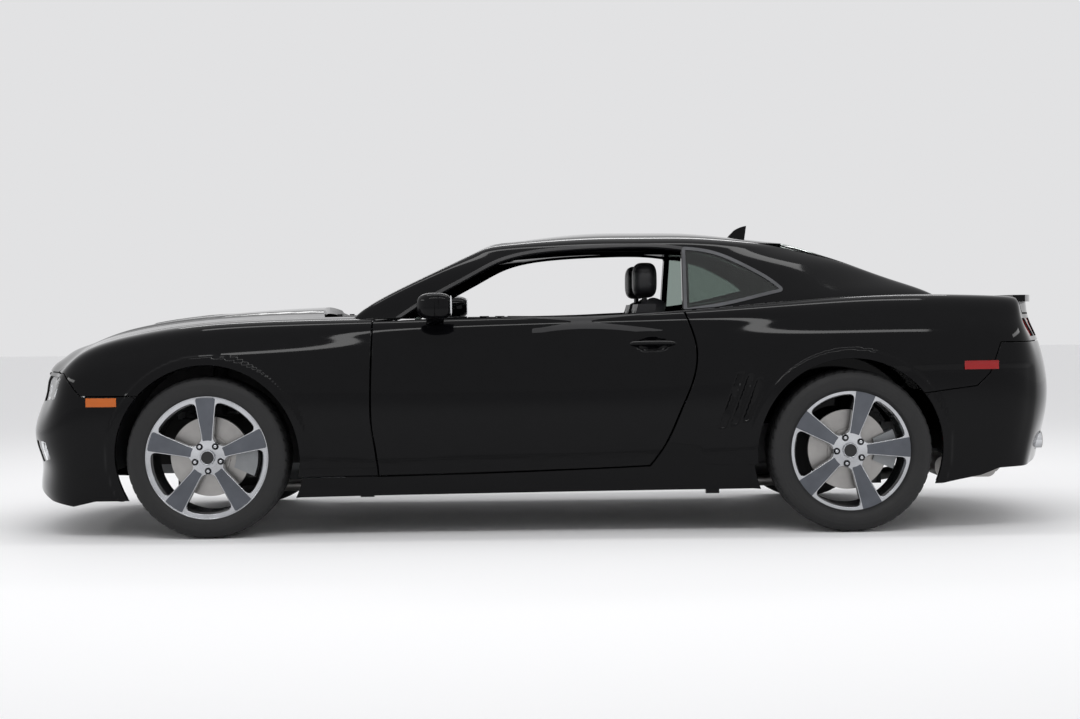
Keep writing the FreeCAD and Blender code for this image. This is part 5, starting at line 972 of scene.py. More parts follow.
def fender_field(p):
    """Front fender: ahead of the door, beside the hood, behind the bumper, over the arch."""
    x, z = p[:, 0], p[:, 2]
    cowl = np.maximum(x - cowl_x, np.abs(p[:, 1]) - cowl_half)
    bumper = -from_side(p, front_seam) - seam
    start = np.maximum(x - fender_foot_x, least(x - fender_back_x, fender_back_z - z))
    return least(start, z - fender_low, off_door(p), off_hood(p), bumper, clear_of_arches(p),
                 outside_cabin(p) - glass_gap, cowl)


def side_field(p):
    """Lower body side: sill, quarter and tail, less the door, windows, lid and lamps."""
    x, y, z = p[:, 0], np.abs(p[:, 1]), p[:, 2]
    bumper = -from_side(p, rear_seam) - seam
    middle = np.maximum(y - roof_half, lid_front + lid_gap - x)
    sill = np.maximum(sill_low - z, sill_front_x - x)
    return least(sill, off_door(p), bumper, off_lid(p), middle,
                 clear_of_arches(p), above_edge(p), outside_cabin(p), off_windows(p),
                 off_tail_lamps(p))


def pillar_field(p):
    """Cabin side: the pillars and the roof's edge, round the two screens and the windows."""
    x = p[:, 0]
    screen = np.where(x > 0, -from_ahead(p, screen_ring) - glass_gap, elsewhere)
    rear = np.where(x < -1.12, -from_ahead(p, back_ring) - glass_gap, elsewhere)
    return least(np.abs(p[:, 1]) - roof_half, over_body(p), off_windows(p), off_door(p), screen,
                 rear, off_lid(p))


def roof_field(p):
    """Middle of the roof, between the two screens."""
    lowest = np.where(p[:, 0] > 0, roof_front_z, roof_rear_z)
    return least(roof_half - seam - p[:, 1], p[:, 2] - lowest)


def deck_field(p):
    """The deck between the rear screen and the trunk lid."""
    x, z = p[:, 0], p[:, 2]
    return least(roof_half - seam - p[:, 1], deck_high - z, z - deck_low, x - lid_front - lid_gap,
                 deck_front_x - x)


def lid_field(p):
    """The trunk lid's shelf with its tongue."""
    y, z = np.abs(p[:, 1]), p[:, 2]
    top = least(shelf_half - y, z - shelf_low)
    tongue = least(tongue_half - y, z - tongue_low)
    return least(np.maximum(top, tongue), lid_front - p[:, 0])


def hood_field(p):
    """The hood's outline from above, down to its front edge."""
    return least(from_above(p, hood_ring), p[:, 2] - hood_low)


def front_bumper_field(p):
    """Front bumper with the holes for the grille, the lamps and the intake."""
    holes = [-from_ahead(p, ring) for ring in (grille_ring, lamp_ring, intake_ring, fog_ring)]
    ahead = np.where(p[:, 0] > -tail_x, least(*holes), elsewhere)
    return least(from_side(p, front_seam), clear_of_arches(p), above_edge(p), ahead)


def rear_bumper_field(p):
    """Rear bumper with round holes for the exhaust tips and a recess for the plate."""
    tip = np.hypot(np.abs(p[:, 1]) - tip_y, p[:, 2] - tip_z) - tip_hole
    plate = -in_box(p, plate_half, plate_low, plate_high)
    behind = np.where(p[:, 0] < tail_x, least(tip, plate), elsewhere)
    return least(from_side(p, rear_seam), clear_of_arches(p), above_edge(p), behind)


# %% Body panels on both sides
side_panels = [
    ("door_skin", body_rows, (6.5, 9.8, 0.9, 6.6), door_field, side_relief, 0.0115, "door"),
    ("fender_skin", body_rows, (1.2, 7.1, 0.9, 7.6), fender_field, side_relief, 0.011, "body"),
    ("side_skin", body_rows, (6.4, 16.0, 0.5, 9.0), side_field, side_relief, 0.009, "body"),
    ("pillar_skin", cabin_rows, (1.0, 13.0, 0.2, 7.0), pillar_field, still, 0.012, "body"),
]
for name, rows, window, field, relief, cell, body in side_panels:
    part = panel_mesh(rows, window, field, relief, cell)
    make_pair(name, part, paint, body)

# %% Body panels across the middle
middle_cell = 0.0145
middle_panels = [
    ("hood_skin", [(body_rows, (0.0, 7.6, 5.0, 9.0), hood_field, hood_relief)], "hood"),
    ("roof_skin", [(cabin_rows, (0.0, 13.0, 4.0, 7.0), roof_field, still)], "body"),
    ("deck_skin", [
        (cabin_rows, (9.0, 13.0, 0.5, 4.0), lambda p: least(deck_field(p), over_body(p)), still),
        (body_rows, (11.0, 16.0, 5.0, 9.0), lambda p: least(deck_field(p), outside_cabin(p)),
         still),
    ], "body"),
    ("lid_skin", [(body_rows, (11.5, 16.0, 4.5, 9.0), lid_field, still)], "trunk_lid"),
    ("front_bumper_skin", [(body_rows, (0.0, 4.8, 0.3, 7.4), front_bumper_field, side_relief)],
     "body"),
    ("rear_bumper_skin", [(body_rows, (11.3, 16.0, 0.3, 6.0), rear_bumper_field, side_relief)],
     "body"),
]
for name, sheets, body in middle_panels:
    parts = []
    for rows, window, field, relief in sheets:
        half = panel_mesh(rows, window, field, relief, middle_cell)
        parts += [half, other_hand(half)]
    make_object(name, joined_parts(parts), paint, body)

# %% [markdown]
# ## Structure under the skins
# Each painted CAD piece keeps its inner structure: door boxes, sills, lamp pockets, window seats.
# Its outer face is pressed inward, so that the new skin stands over it with a rolled edge. The
# CAD piece could be hidden instead, but then an open door would be a shell with nothing inside.

# %% Structure
press, press_reach = 0.003, 0.028
press_end, press_fade = 0.024, 0.010
press_slack, press_side = 0.0025, 0.02
sheet_top = 1.372


def nearest_on_sheet(rows, p, samples=(70, 44)):
    """Nearest place of the sheet to each point of p, with the outward normal there.

    It starts from the nearest of a grid of samples and takes Gauss-Newton steps: the miss is
    projected on the two tangents, and the 2 x 2 system gives the change of u and v.
    """
    n, m = rows.shape[0] - 1, rows.shape[1] - 1
    gu, gv = np.meshgrid(np.linspace(0, n, samples[0]), np.linspace(0, m, samples[1]),
                         indexing="ij")
    gu, gv = gu.ravel(), gv.ravel()
    known = sheet_places(rows, gu, gv)
    best = np.empty(len(p), int)
    for start in range(0, len(p), 1500):
        part = slice(start, start + 1500)
        best[part] = ((p[part, None] - known[None])**2).sum(2).argmin(1)
    u, v = gu[best], gv[best]
    step = tiny_step
    for _ in range(6):
        here = sheet_places(rows, u, v)
        du = (sheet_places(rows, u + step, v) - sheet_places(rows, u - step, v)) / step / 2
        dv = (sheet_places(rows, u, v + step) - sheet_places(rows, u, v - step)) / step / 2
        miss = p - here
        a, b, c = (du * du).sum(1), (du * dv).sum(1), (dv * dv).sum(1)
        e, f = (miss * du).sum(1), (miss * dv).sum(1)
        det = np.maximum(a * c - b * b, 1e-10)
        at_end = (v <= 0) & (f < 0) | (v >= m) & (f > 0)
        step_u = np.where(at_end, e / np.maximum(a, 1e-10), (e * c - f * b) / det)
        u = np.clip(u + np.clip(step_u, -0.5, 0.5), 0, n)
        v = np.clip(v + np.clip((f * a - e * b) / det, -0.5, 0.5), 0, m)
    return sheet_places(rows, u, v), sheet_normals(rows, u, v)


def pressed_in(node, body, sheets, relief, upright):
    """The node's mesh pressed inward under its new skin.

    What lies at depth d under a sheet moves in by (press + hollow) * exp(-d / reach), where hollow
    is how deep the skin's own relief goes, and the move fades out before press_end. Upright
    moves all below the roof's top straight down instead.
    """
    source = nodes[node]
    count = len(source.data.vertices)
    flat = np.empty(count * 3, np.float32)
    source.data.vertices.foreach_get("co", flat)
    places = flat.reshape(-1, 3).astype(float)
    side = np.sign(places[:, 1:2]) + (places[:, 1:2] == 0)
    hand = np.hstack([np.ones((count, 1)), side, np.ones((count, 1))])
    half = places * hand
    if upright:
        half[:, 2] -= press * (half[:, 2] < sheet_top)
    for rows in sheets:
        near, normal = nearest_on_sheet(rows, half)
        depth = ((near - half) * normal).sum(1)
        off = np.linalg.norm(near - half - depth[:, None] * normal, axis=1)
        fade = np.exp(-np.maximum(depth, 0) / press_reach) * ramp((press_end - depth) / press_fade)
        share = np.where((depth > -press_slack) & (off < press_side), fade, 0)
        hollow = np.maximum(-relief(near), 0)
        half = half - normal * ((press + hollow) * share)[:, None]
    mesh = source.data.copy()
    mesh.name = node + "_core"
    mesh.vertices.foreach_set("co", (half * hand).astype(np.float32).ravel())
    mesh.update()
    mesh.materials.clear()
    mesh.materials.append(paint)
    obj = bpy.data.objects.new(node + "_core", mesh)
    scene.collection.objects.link(obj)
    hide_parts(node)
    print(node + "_core", count, "vertices on", body)
    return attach(obj, body)


for node, body, sheets, relief, upright in (
    ("body_side_left", "body", [body_rows, cabin_rows], side_relief, False),
    ("door_left", "door_left", [body_rows], side_relief, False),
    ("fender_left", "body", [body_rows], side_relief, False),
    ("body_side_right", "body", [body_rows, cabin_rows], side_relief, False),
    ("door_right", "door_right", [body_rows], side_relief, False),
    ("fender_right", "body", [body_rows], side_relief, False),
    ("hood", "hood", [body_rows], hood_relief, False),
    ("trunk_lid", "trunk_lid", [body_rows], still, False),
    ("front_bumper", "body", [body_rows], side_relief, False),
    ("rear_bumper", "body", [body_rows], side_relief, False),
    ("roof_panel", "body", [], still, True),
    ("deck_panel", "body", [], still, True),
):
    pressed_in(node, body, sheets, relief, upright)

# %% [markdown]
# ## Wheels
# The real wheels are cast, then machined on the face and painted between. The rim is a turned
# profile, which Spin could make too, but a function of angle and profile also takes the pockets
# and nuts. The five spokes are one face with a smooth outline, rolled at its edges, under five
# grey inlays that leave a bright edge showing.

# %% Turned shapes


def looks_in(verts, quads, normals):
    """Whether the faces, taken together, look against the normals."""
    corner = verts[quads]
    face = np.cross(corner[:, 2] - corner[:, 0], corner[:, 3] - corner[:, 1])
    return (face * normals[quads].mean(1)).sum() < 0


def profile_line(points, cell):
    """A (radius, depth) polyline resampled by arc length."""
    points = np.asarray(points, float)
    run = np.concatenate([[0], np.cumsum(np.linalg.norm(np.diff(points, axis=0), axis=1))])
    count = max(len(points), int(run[-1] / cell) + 1)
    at = np.unique(np.concatenate([run, np.linspace(0, run[-1], count)]))
    return np.stack([np.interp(at, run, points[:, i]) for i in (0, 1)], axis=1)


def turned(points, segments, cell=0.02, bumps=None):
    """Surface (r cos t, y, r sin t) of a profile (r, y) turned about the Y axis.

    bumps(t, r, y) adds to the radius, and its value for the depth, along the profile's normal.
    The profile runs so that its left side is the outside.
    """
    line = profile_line(points, cell)
    t = np.linspace(0, 2 * math.pi, segments, endpoint=False)
    angle, index = np.meshgrid(t, np.arange(len(line)), indexing="ij")
    r, y = line[index, 0], line[index, 1]
    ahead = unit(np.gradient(line, axis=0))
    out_r, out_y = -ahead[index, 1], ahead[index, 0]
    if bumps is not None:
        move = bumps(angle, r, y)
        r, y = r + out_r * move, y + out_y * move
    places = np.stack([r * np.cos(angle), y, r * np.sin(angle)], axis=2)
    du = np.roll(places, -1, axis=0) - np.roll(places, 1, axis=0)
    dv = np.gradient(places, axis=1)
    normal = unit(np.cross(dv, du))
    guess = np.stack([out_r * np.cos(angle), out_y, out_r * np.sin(angle)], axis=2)
    weak = np.linalg.norm(normal, axis=2, keepdims=True) < 0.5
    normal = np.where(weak, guess, normal)
    flip = np.sign((normal * guess).sum())
    n = len(line)
    number = np.arange(segments * n).reshape(segments, n)
    after = np.roll(number, -1, axis=0)
    quads = np.stack([number[:, :-1], after[:, :-1], after[:, 1:], number[:, 1:]], axis=2)
    verts, quads = places.reshape(-1, 3), quads.reshape(-1, 4)
    if looks_in(verts, quads, guess.reshape(-1, 3)):
        quads = quads[:, ::-1]
    return verts, quads, np.zeros((0, 3), int), (normal * flip).reshape(-1, 3)


def moved(part, shift, angle=0.0, lift=0.0):
    """The part raised by lift, turned by the angle about Y, then shifted."""
    v, q, t, n = part
    c, s = math.cos(angle), math.sin(angle)
    spin = np.array([[c, 0, s], [0, 1, 0], [-s, 0, c]])
    return (v + np.array([0, 0, lift])) @ spin.T + np.asarray(shift), q, t, n @ spin.T


# %% Rims
spoke_number = 5
spoke_pitch = 2 * math.pi / spoke_number
face_end, hub_edge, lug_radius, valve_radius = 0.2665, 0.060, 0.060, 0.2385
lug_hole, hub_fillet, lip_fillet = 0.0135, 0.022, 0.026


def wheel_depth(r):
    """Depth of the spokes' face along the axle at each radius."""
    return np.interp(r, [0.0, 0.045, 0.090, 0.150, 0.215, 0.262, 0.2775],
                     [0.0775, 0.0785, 0.0835, 0.0915, 0.0990, 0.1035, 0.1055])


def wheel_sheet(u, v):
    """u is the angle and v the radius: (v cos u, depth(v), v sin u)."""
    return np.stack([v * np.cos(u), wheel_depth(v), v * np.sin(u)], axis=1)


def soft_max(a, b, k):
    """Larger of a and b with a fillet of size k where they are close."""
    h = np.clip(0.5 + 0.5 * (a - b) / k, 0, 1)
    return b * (1 - h) + a * h + k * h * (1 - h)


def spoke_field(p, first, grow):
    """Inside distance of the wedge spokes, wider toward the lip."""
    r = np.hypot(p[:, 0], p[:, 2])
    angle = np.arctan2(p[:, 2], p[:, 0]) - first
    angle = (angle + spoke_pitch / 2) % spoke_pitch - spoke_pitch / 2
    along, across = r * np.cos(angle), np.abs(r * np.sin(angle))
    half = np.interp(along, [0.04, 0.104, 0.251, 0.28], [0.0175, 0.0235, 0.0435, 0.0475])
    return half + grow - across, r


def lug_gaps(p, first):
    """Outside distance of the five round lug pockets."""
    r = np.hypot(p[:, 0], p[:, 2])
    angle = (np.arctan2(p[:, 2], p[:, 0]) - first) % spoke_pitch - spoke_pitch / 2
    return np.hypot(r * np.cos(angle) - lug_radius, r * np.sin(angle)) - lug_hole


def base_field(p, first):
    """Bright face: spokes, hub and lip joined with fillets, less the lug pockets."""
    spoke, r = spoke_field(p, first, 0.0035)
    hub = hub_edge + 0.015 - r
    lip = r - 0.2495
    whole = soft_max(soft_max(spoke, hub, hub_fillet), lip, lip_fillet)
    return least(whole, lug_gaps(p, first))


def face_field(p, first):
    """Grey inlay: a little narrower than the spoke under it."""
    spoke, r = spoke_field(p, first, -0.0005)
    return least(spoke, face_end - r, r - 0.076)


wheel_places = {"front": (1.483, 0.8095), "rear": (-1.369, 0.8145)}
spoke_starts = {"front": math.radians(-1.0 + 90.0), "rear": math.radians(15.0 + 90.0)}
rim_cell = 0.0048
turns = 144
rim_lip = [(0.2440, -0.1000), (0.2440, 0.0820), (0.2500, 0.0985), (0.2600, 0.1030),
           (0.2680, 0.1035), (0.2705, 0.1075), (0.2755, 0.1078), (0.2777, 0.1050),
           (0.2777, 0.0960)]
rim_back = [(0.2777, -0.0960), (0.2777, -0.1070), (0.2640, -0.1078), (0.2500, -0.1000),
            (0.2440, -0.1000)]
nut = [(0.0001, 0.0925), (0.0045, 0.0922), (0.0078, 0.0900), (0.0092, 0.0850), (0.0094, 0.0700)]
pocket = [(0.0125, 0.0660), (0.0128, 0.0790), (0.0150, 0.0826), (0.0158, 0.0818),
          (0.0160, 0.0780)]
well = [(0.0001, 0.0680), (0.0060, 0.0680), (0.0124, 0.0684), (0.0126, 0.0780)]
cap_ring = [(0.0275, 0.0900), (0.0285, 0.0925), (0.0315, 0.0930), (0.0335, 0.0905),
            (0.0340, 0.0780)]
cap_middle = [(0.0001, 0.0915), (0.0120, 0.0912), (0.0200, 0.0905), (0.0260, 0.0896),
              (0.0285, 0.0885)]
stem = [(0.0001, 0.1060), (0.0026, 0.1054), (0.0032, 0.1030), (0.0032, 0.0880), (0.0042, 0.0860)]



def on_circle(radius, angle, depth=0.0):
    """Place on a circle about the axle."""
    return (radius * math.cos(angle), depth, radius * math.sin(angle))


for end, (x0, y0) in wheel_places.items():
    first = spoke_starts[end]
    spokes = panel_mesh(wheel_sheet, (0.0, 2 * math.pi, 0.034, 0.262),
                        lambda p: base_field(p, first), still, rim_cell, 0.034, 0.003, True)
    inlays = panel_mesh(wheel_sheet, (first - 0.6, first + 2 * math.pi - 0.6, 0.06, 0.2775),
                        lambda p: face_field(p, first), raised(0.0022), rim_cell, 0.003, 0.0012,
                        True)
    bright_parts = [spokes, turned(rim_lip, turns, 0.01), turned(rim_back, turns, 0.02),
                    turned(cap_ring, 72)]
    dark_parts = []
    for i in range(spoke_number):
        spot = on_circle(lug_radius, first + (i + 0.5) * spoke_pitch)
        bright_parts += [moved(turned(nut, 6), spot), moved(turned(pocket, 40), spot)]
        dark_parts.append(moved(turned(well, 32), spot))
    valve_spot = on_circle(valve_radius, first + spoke_pitch / 2, -0.012)
    dark_parts.append(moved(turned(stem, 16), valve_spot))
    dark_parts.append(turned(cap_middle, 72))
    for name, parts, material, old in (
        ("rim_bright", bright_parts, wheel_silver, f"rim_{end}"),
        ("rim_inlay", [inlays], wheel_grey, None),
        ("rim_cap", dark_parts, trim, None),
    ):
        part = moved(joined_parts(parts), (x0, y0, wheel_z))
        make_pair(f"{name}_{end}", part, material, f"wheel_{end}", old)

# %% [markdown]
# ## Tyres
# A tyre is a moulded ring with ribs on its side and grooves round and across its tread. Arrayed
# blocks bent into a circle could make the tread. Here the profile is turned, and a function of
# the angle cuts the grooves, which keeps the whole tyre one smooth surface.

# %% Tyres
tread_pitches = 48
ring_depth, slot_depth, block_depth, rib_height, band_height = 0.0065, 0.0045, 0.003, 0.0007, 0.0006
rib_wave = 0.0062


def tyre_profile(width):
    """(r, y) from the outer bead over the tread to the inner one, for a tyre of this width."""
    half = width / 2
    side = [(0.2640, 0.78), (0.2690, 0.855), (0.2790, 0.925), (0.2950, 0.982), (0.3090, 1.0),
            (0.3240, 0.992), (0.3370, 0.962), (0.3470, 0.915), (0.3535, 0.855), (0.3570, 0.78),
            (0.3585, 0.66), (0.3594, 0.45), (0.3598, 0.2)]
    right_half = [(r, -half * s) for r, s in side]
    left_half = [(r, half * s) for r, s in side[::-1]]
    return (right_half + left_half)[::-1]


def tread(width):
    """Grooves: four rings, slanted cuts in the shoulders and fine ribs on the sidewalls."""
    half = width / 2

    def cut(t, r, y):
        """How far the tyre stands out at angle t, radius r and depth y."""
        share = np.abs(y) / half
        top = ramp((r - 0.3555) / 0.002)
        rings = np.zeros_like(r)
        for middle in (0.17, 0.50):
            rings = np.maximum(rings, ramp((0.0056 - np.abs(np.abs(y) - middle * half)) / 0.0022))
        phase = (t * tread_pitches / (2 * math.pi) + 1.4 * y / half * np.sign(y)) % 1.0
        slots = ramp((0.13 - np.abs(phase - 0.5)) / 0.06) * (share > 0.56) * (r > 0.349)
        blocks = ramp((0.10 - np.abs((phase + 0.5) % 1.0 - 0.5)) / 0.05)
        blocks = blocks * (share > 0.20) * (share < 0.46) * top
        ribs = rib_height * np.sin(r * 2 * math.pi / rib_wave)
        ribs = ribs * ramp((r - 0.272) / 0.004) * ramp((0.300 - r) / 0.004)
        band = band_height * ramp((r - 0.316) / 0.002) * ramp((0.334 - r) / 0.002)
        return ribs + band - ring_depth * rings * top - slot_depth * slots - block_depth * blocks

    return cut


segments, tread_cell = ((288, 0.0064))
for end, width in (("front", 0.245), ("rear", 0.275)):
    x0, y0 = wheel_places[end]
    tyre = moved(turned(tyre_profile(width), segments, tread_cell, tread(width)), (x0, y0, wheel_z))
    make_pair(f"tyre_tread_{end}", tyre, tyre_rubber, f"wheel_{end}", f"tyre_{end}")

# %% [markdown]
# ## Window surrounds, seams and trim
# Narrow strips follow a ring drawn on the sheet: a strip is a panel whose field is a band about
# the ring. They give the dark window frames and the strip along the foot of the cabin. A bevelled
# curve could make them too, but it would not lie flat on the curved glass side.

# %% Strips along rings


strip_cell = 0.0055
strip_roll, frame_half, frame_offset = 0.0012, 0.0075, 0.0065


def frame_band(p, ring):
    """A band about the line just outside the ring, above the lower body."""
    return least(frame_half - np.abs(from_side(p, ring) + frame_offset), over_body(p) - 0.002)


def belt_band(p):
    """A band on the lower body, a little way out from the foot of the cabin."""
    return least(0.006 - np.abs(outside_cabin(p) - 0.012), p[:, 1] - 0.6, p[:, 0] + 1.09,
                 0.80 - p[:, 0])


for name, rows, window, field, height, depth, material in (
    ("window_frame", cabin_rows, (1.0, 13.0, 0.0, 6.0),
     lambda p: least(frame_band(p, light_ring), off_door(p)), 0.0024, 0.010, trim),
    ("quarter_frame", cabin_rows, (5.0, 13.0, 0.0, 6.0),
     lambda p: frame_band(p, quarter_ring), 0.0030, 0.010, frame_grey),
    ("belt_frame", body_rows, (6.0, 12.5, 5.0, 9.0), belt_band, 0.0016, 0.006, trim),
):
    part = panel_mesh(rows, window, field, raised(height), strip_cell, depth, strip_roll)
    make_pair(name, part, material, "body")

# %% [markdown]
# ## Door handles
# The handle is a painted bar over a hollow in the door. A bevelled curve could make it, but here
# a rounded outline is swept along a path that follows the body sheet, so it keeps one clearance.

# %% Door handles
bar_power, least_size = 2.6, 0.02
handle_path = np.array([(-0.600, 0.0), (-0.575, 0.014), (-0.535, 0.019), (-0.497, 0.020),
                        (-0.455, 0.019), (-0.415, 0.013), (-0.393, 0.0)])


def side_at(x, z):
    """Place and normal of the body sheet at paired x and z on the left side."""
    near, normal = nearest_on_sheet(body_rows, np.stack([x, np.full(len(x), 0.93), z], axis=1))
    for _ in range(3):
        aim = near.copy()
        aim[:, 0], aim[:, 2] = x, z
        near, normal = nearest_on_sheet(body_rows, aim)
    return near, normal


def swept(path, across, up, half_wide, half_high, ring_count=20, taper=0.35):
    """Rounded bar: each place of the path carries a super-ellipse that shrinks at the ends.

    Its two axes are half_wide and half_high times the cosine and the sine of the angle, each
    taken to the power 2 / bar_power with its sign kept.
    """
    n = len(path)
    t = np.linspace(0, 2 * math.pi, ring_count, endpoint=False)
    s = np.linspace(-1, 1, n)
    size = np.maximum(1 - np.abs(s)**(2 / taper), least_size)**0.5
    c, k = (np.sign(w) * np.abs(w)**(2 / bar_power) for w in (np.cos(t), np.sin(t)))
    offset = (across[:, None] * (half_wide * size[:, None] * c)[..., None]
              + up[:, None] * (half_high * size[:, None] * k)[..., None])
    places = path[:, None] + offset
    number = np.arange(n * ring_count).reshape(n, ring_count)
    after = np.roll(number, -1, axis=1)
    quads = np.stack([number[:-1], after[:-1], after[1:], number[1:]], axis=2).reshape(-1, 4)
    ends = np.stack([path[0], path[-1]])
    verts = np.concatenate([places.reshape(-1, 3), ends])
    first, last = len(verts) - 2, len(verts) - 1
    tris = np.concatenate([
        np.stack([np.full(ring_count, first), after[0], number[0]], 1),
        np.stack([np.full(ring_count, last), number[-1], after[-1]], 1),
    ])
    along = np.gradient(path, axis=0)
    normals = unit(np.concatenate([unit(offset).reshape(-1, 3), -along[:1], along[-1:]]))
    if looks_in(verts, quads, normals):
        quads, tris = quads[:, ::-1], tris[:, ::-1]
    return verts, quads, tris, normals


def smooth_path(points, count):
    """A Catmull-Rom curve through the points at even steps of the knot number."""
    points = np.asarray(points, float)
    longer = np.concatenate([2 * points[:1] - points[1:2], points,
                             2 * points[-1:] - points[-2:-1]])
    t = np.linspace(0, len(points) - 1 - 1e-9, count)
    i = t.astype(int)
    s = (t - i)[:, None]
    a, b, c, d = (longer[i + k] for k in range(4))
    return 0.5 * (2 * b + (c - a) * s + (2 * a - 5 * b + 4 * c - d) * s**2
                  + (3 * b - a - 3 * c + d) * s**3)


handle_rings, handle_share, handle_sink = 40, 0.62, 0.002
line = smooth_path(handle_path, handle_rings)
base, out = side_at(line[:, 0], np.full(handle_rings, handle_z - handle_sink))
handle_line = base + out * (line[:, 1:2] * handle_share - handle_sink)
up = np.tile([0.0, 0.0, 1.0], (handle_rings, 1))
handle = swept(handle_line, out, up, 0.0065, 0.0115)
make_pair("door_handle", handle, paint, "door")

# %% [markdown]
# ## Exhaust tips
# Each tip is a short polished pipe with a rolled mouth, set in a round hole of the rear bumper.
# Its profile is turned like the rim's and then laid along the car.

# %% Exhaust tips
tip_profile = [(0.0382, -2.2200), (0.0382, -2.2960), (0.0375, -2.3000), (0.0350, -2.2985),
               (0.0335, -2.285), (0.0330, -2.200)]


def about_x(part):
    """A part turned about Y laid along X instead: (x, y, z) to (y, x, z)."""
    v, q, t, n = part
    order = [1, 0, 2]
    return v[:, order], q[:, ::-1], t[:, ::-1], n[:, order]


tip = moved(about_x(turned(tip_profile, 64, 0.01)), (0.0, tip_y, tip_z))
make_pair("exhaust_tip", tip, bright, "body")

# %% [markdown]
# ## Seats
# The real seats are foam under sewn leather. Cloth simulation could swell them. Pressed forms
# were chosen, since the seats show only through the windows and a formula keeps both seats alike.
# A cushion starts as a rounded block: the directions (cos v cos u, sin v, cos v sin u) divided by
# the p-norm of themselves, times the half sizes. Smooth steps then add side bolsters, and narrow
# Gaussians press in the seams and the sewn channels.

# %% Rounded forms


def rounded_form(half, power, shape=None, around=104, across=66):
    """Closed form with half sizes (x, y, z); shape(s, places) bends it, s in -1 to 1."""
    u = np.linspace(0, 2 * math.pi, around, endpoint=False)
    v = np.linspace(-math.pi / 2, math.pi / 2, across + 1)
    v[0], v[-1] = v[0] + 1e-3, v[-1] - 1e-3
    uu, vv = np.meshgrid(u, v, indexing="ij")
    d = np.stack([np.cos(vv) * np.cos(uu), np.sin(vv), np.cos(vv) * np.sin(uu)], axis=2)
    s = d / (np.abs(d)**power).sum(2, keepdims=True)**(1 / power)
    places = s * np.asarray(half)
    if shape is not None:
        places = shape(s, places)
    n = len(v)
    du = np.roll(places, -1, axis=0) - np.roll(places, 1, axis=0)
    dv = np.gradient(places, axis=1)
    normals = unit(np.cross(dv, du)).reshape(-1, 3)
    number = np.arange(around * n).reshape(around, n)
    after = np.roll(number, -1, axis=0)
    quads = np.stack([number[:, :-1], number[:, 1:], after[:, 1:], after[:, :-1]], axis=2)
    verts, quads = places.reshape(-1, 3), quads.reshape(-1, 4)
    if (normals * s.reshape(-1, 3)).sum() < 0:
        normals = -normals
    if looks_in(verts, quads, normals):
        quads = quads[:, ::-1]
    ends = [number[:, 0], number[:, -1]]
    caps, cap_normals, tris = [], [], []
    for k, ring_ids in enumerate(ends):
        middle = len(verts) + k
        caps.append(verts[ring_ids].mean(0))
        cap_normals.append([0.0, -1.0 if k == 0 else 1.0, 0.0])
        pair = [ring_ids, np.roll(ring_ids, -1)]
        side_a = np.cross(verts[pair[0]] - caps[-1], verts[pair[1]] - caps[-1]).sum(0)
        order = pair if side_a[1] * cap_normals[-1][1] > 0 else pair[::-1]
        tris.append(np.stack([np.full(around, middle), order[0], order[1]], axis=1))
    return (np.concatenate([verts, np.array(caps)]), quads, np.concatenate(tris),
            np.concatenate([normals, np.array(cap_normals)]))


def groove(distance, depth, width=0.0045):
    """A narrow Gaussian hollow about distance zero."""
    return -depth * np.exp(-(distance / width)**2)


def padded_face(s, places, out, along, sew, bolster, seam_share):
    """Moves the face at s[out] > 0: bolsters beside, a hollow between, seams and channels."""
    face = ramp((s[..., out] + 0.1) / 0.9)
    half_y = np.abs(places[..., 1]).max()
    side = ramp((np.abs(s[..., 1]) - seam_share) / 0.10) * ramp((1.02 - np.abs(s[..., 1])) / 0.30)
    middle = 1 - ramp((np.abs(s[..., 1]) - seam_share + 0.05) / 0.05)
    move = bolster * side - 0.010 * middle * (1 - np.clip(s[..., along], -1, 1)**2)
    move = move + groove((np.abs(s[..., 1]) - seam_share) * half_y, 0.008)
    length = np.abs(places[..., along]).max()
    for share in sew:
        move = move + middle * groove((s[..., along] - share) * length, 0.005)
    edge = np.abs(s[..., out] - 0.35) * np.abs(places[..., out]).max()
    move = move + groove(edge, 0.003, 0.003)
    places[..., out] = places[..., out] + face * move
    return places


def cushion_shape(s, places):
    """Seat cushion: bolsters, three channels, a raised front with a soft edge."""
    places = padded_face(s, places, 2, 0, (-0.35, 0.05, 0.45), 0.026, 0.66)
    places[..., 2] += 0.016 * s[..., 0] - 0.030 * ramp((s[..., 0] - 0.75) / 0.4)
    return places


def back_shape(s, places):
    """Backrest: bolsters, four channels, narrower toward the top, bowed a little."""
    places = padded_face(s, places, 0, 2, (-0.45, -0.15, 0.15, 0.45), 0.030, 0.62)
    places[..., 1] *= 1 - 0.16 * ramp((s[..., 2] - 0.25) / 0.8)
    places[..., 0] += 0.020 * (1 - s[..., 2]**2)
    return places


def rest_shape(s, places):
    """Head rest with two upright seams, narrower at the top."""
    places[..., 0] += groove((np.abs(s[..., 1]) - 0.6) * 0.12, 0.003) * (s[..., 0] > 0)
    places[..., 1] *= 1 - 0.10 * (s[..., 2] > 0) * np.abs(s[..., 2])**2
    return places


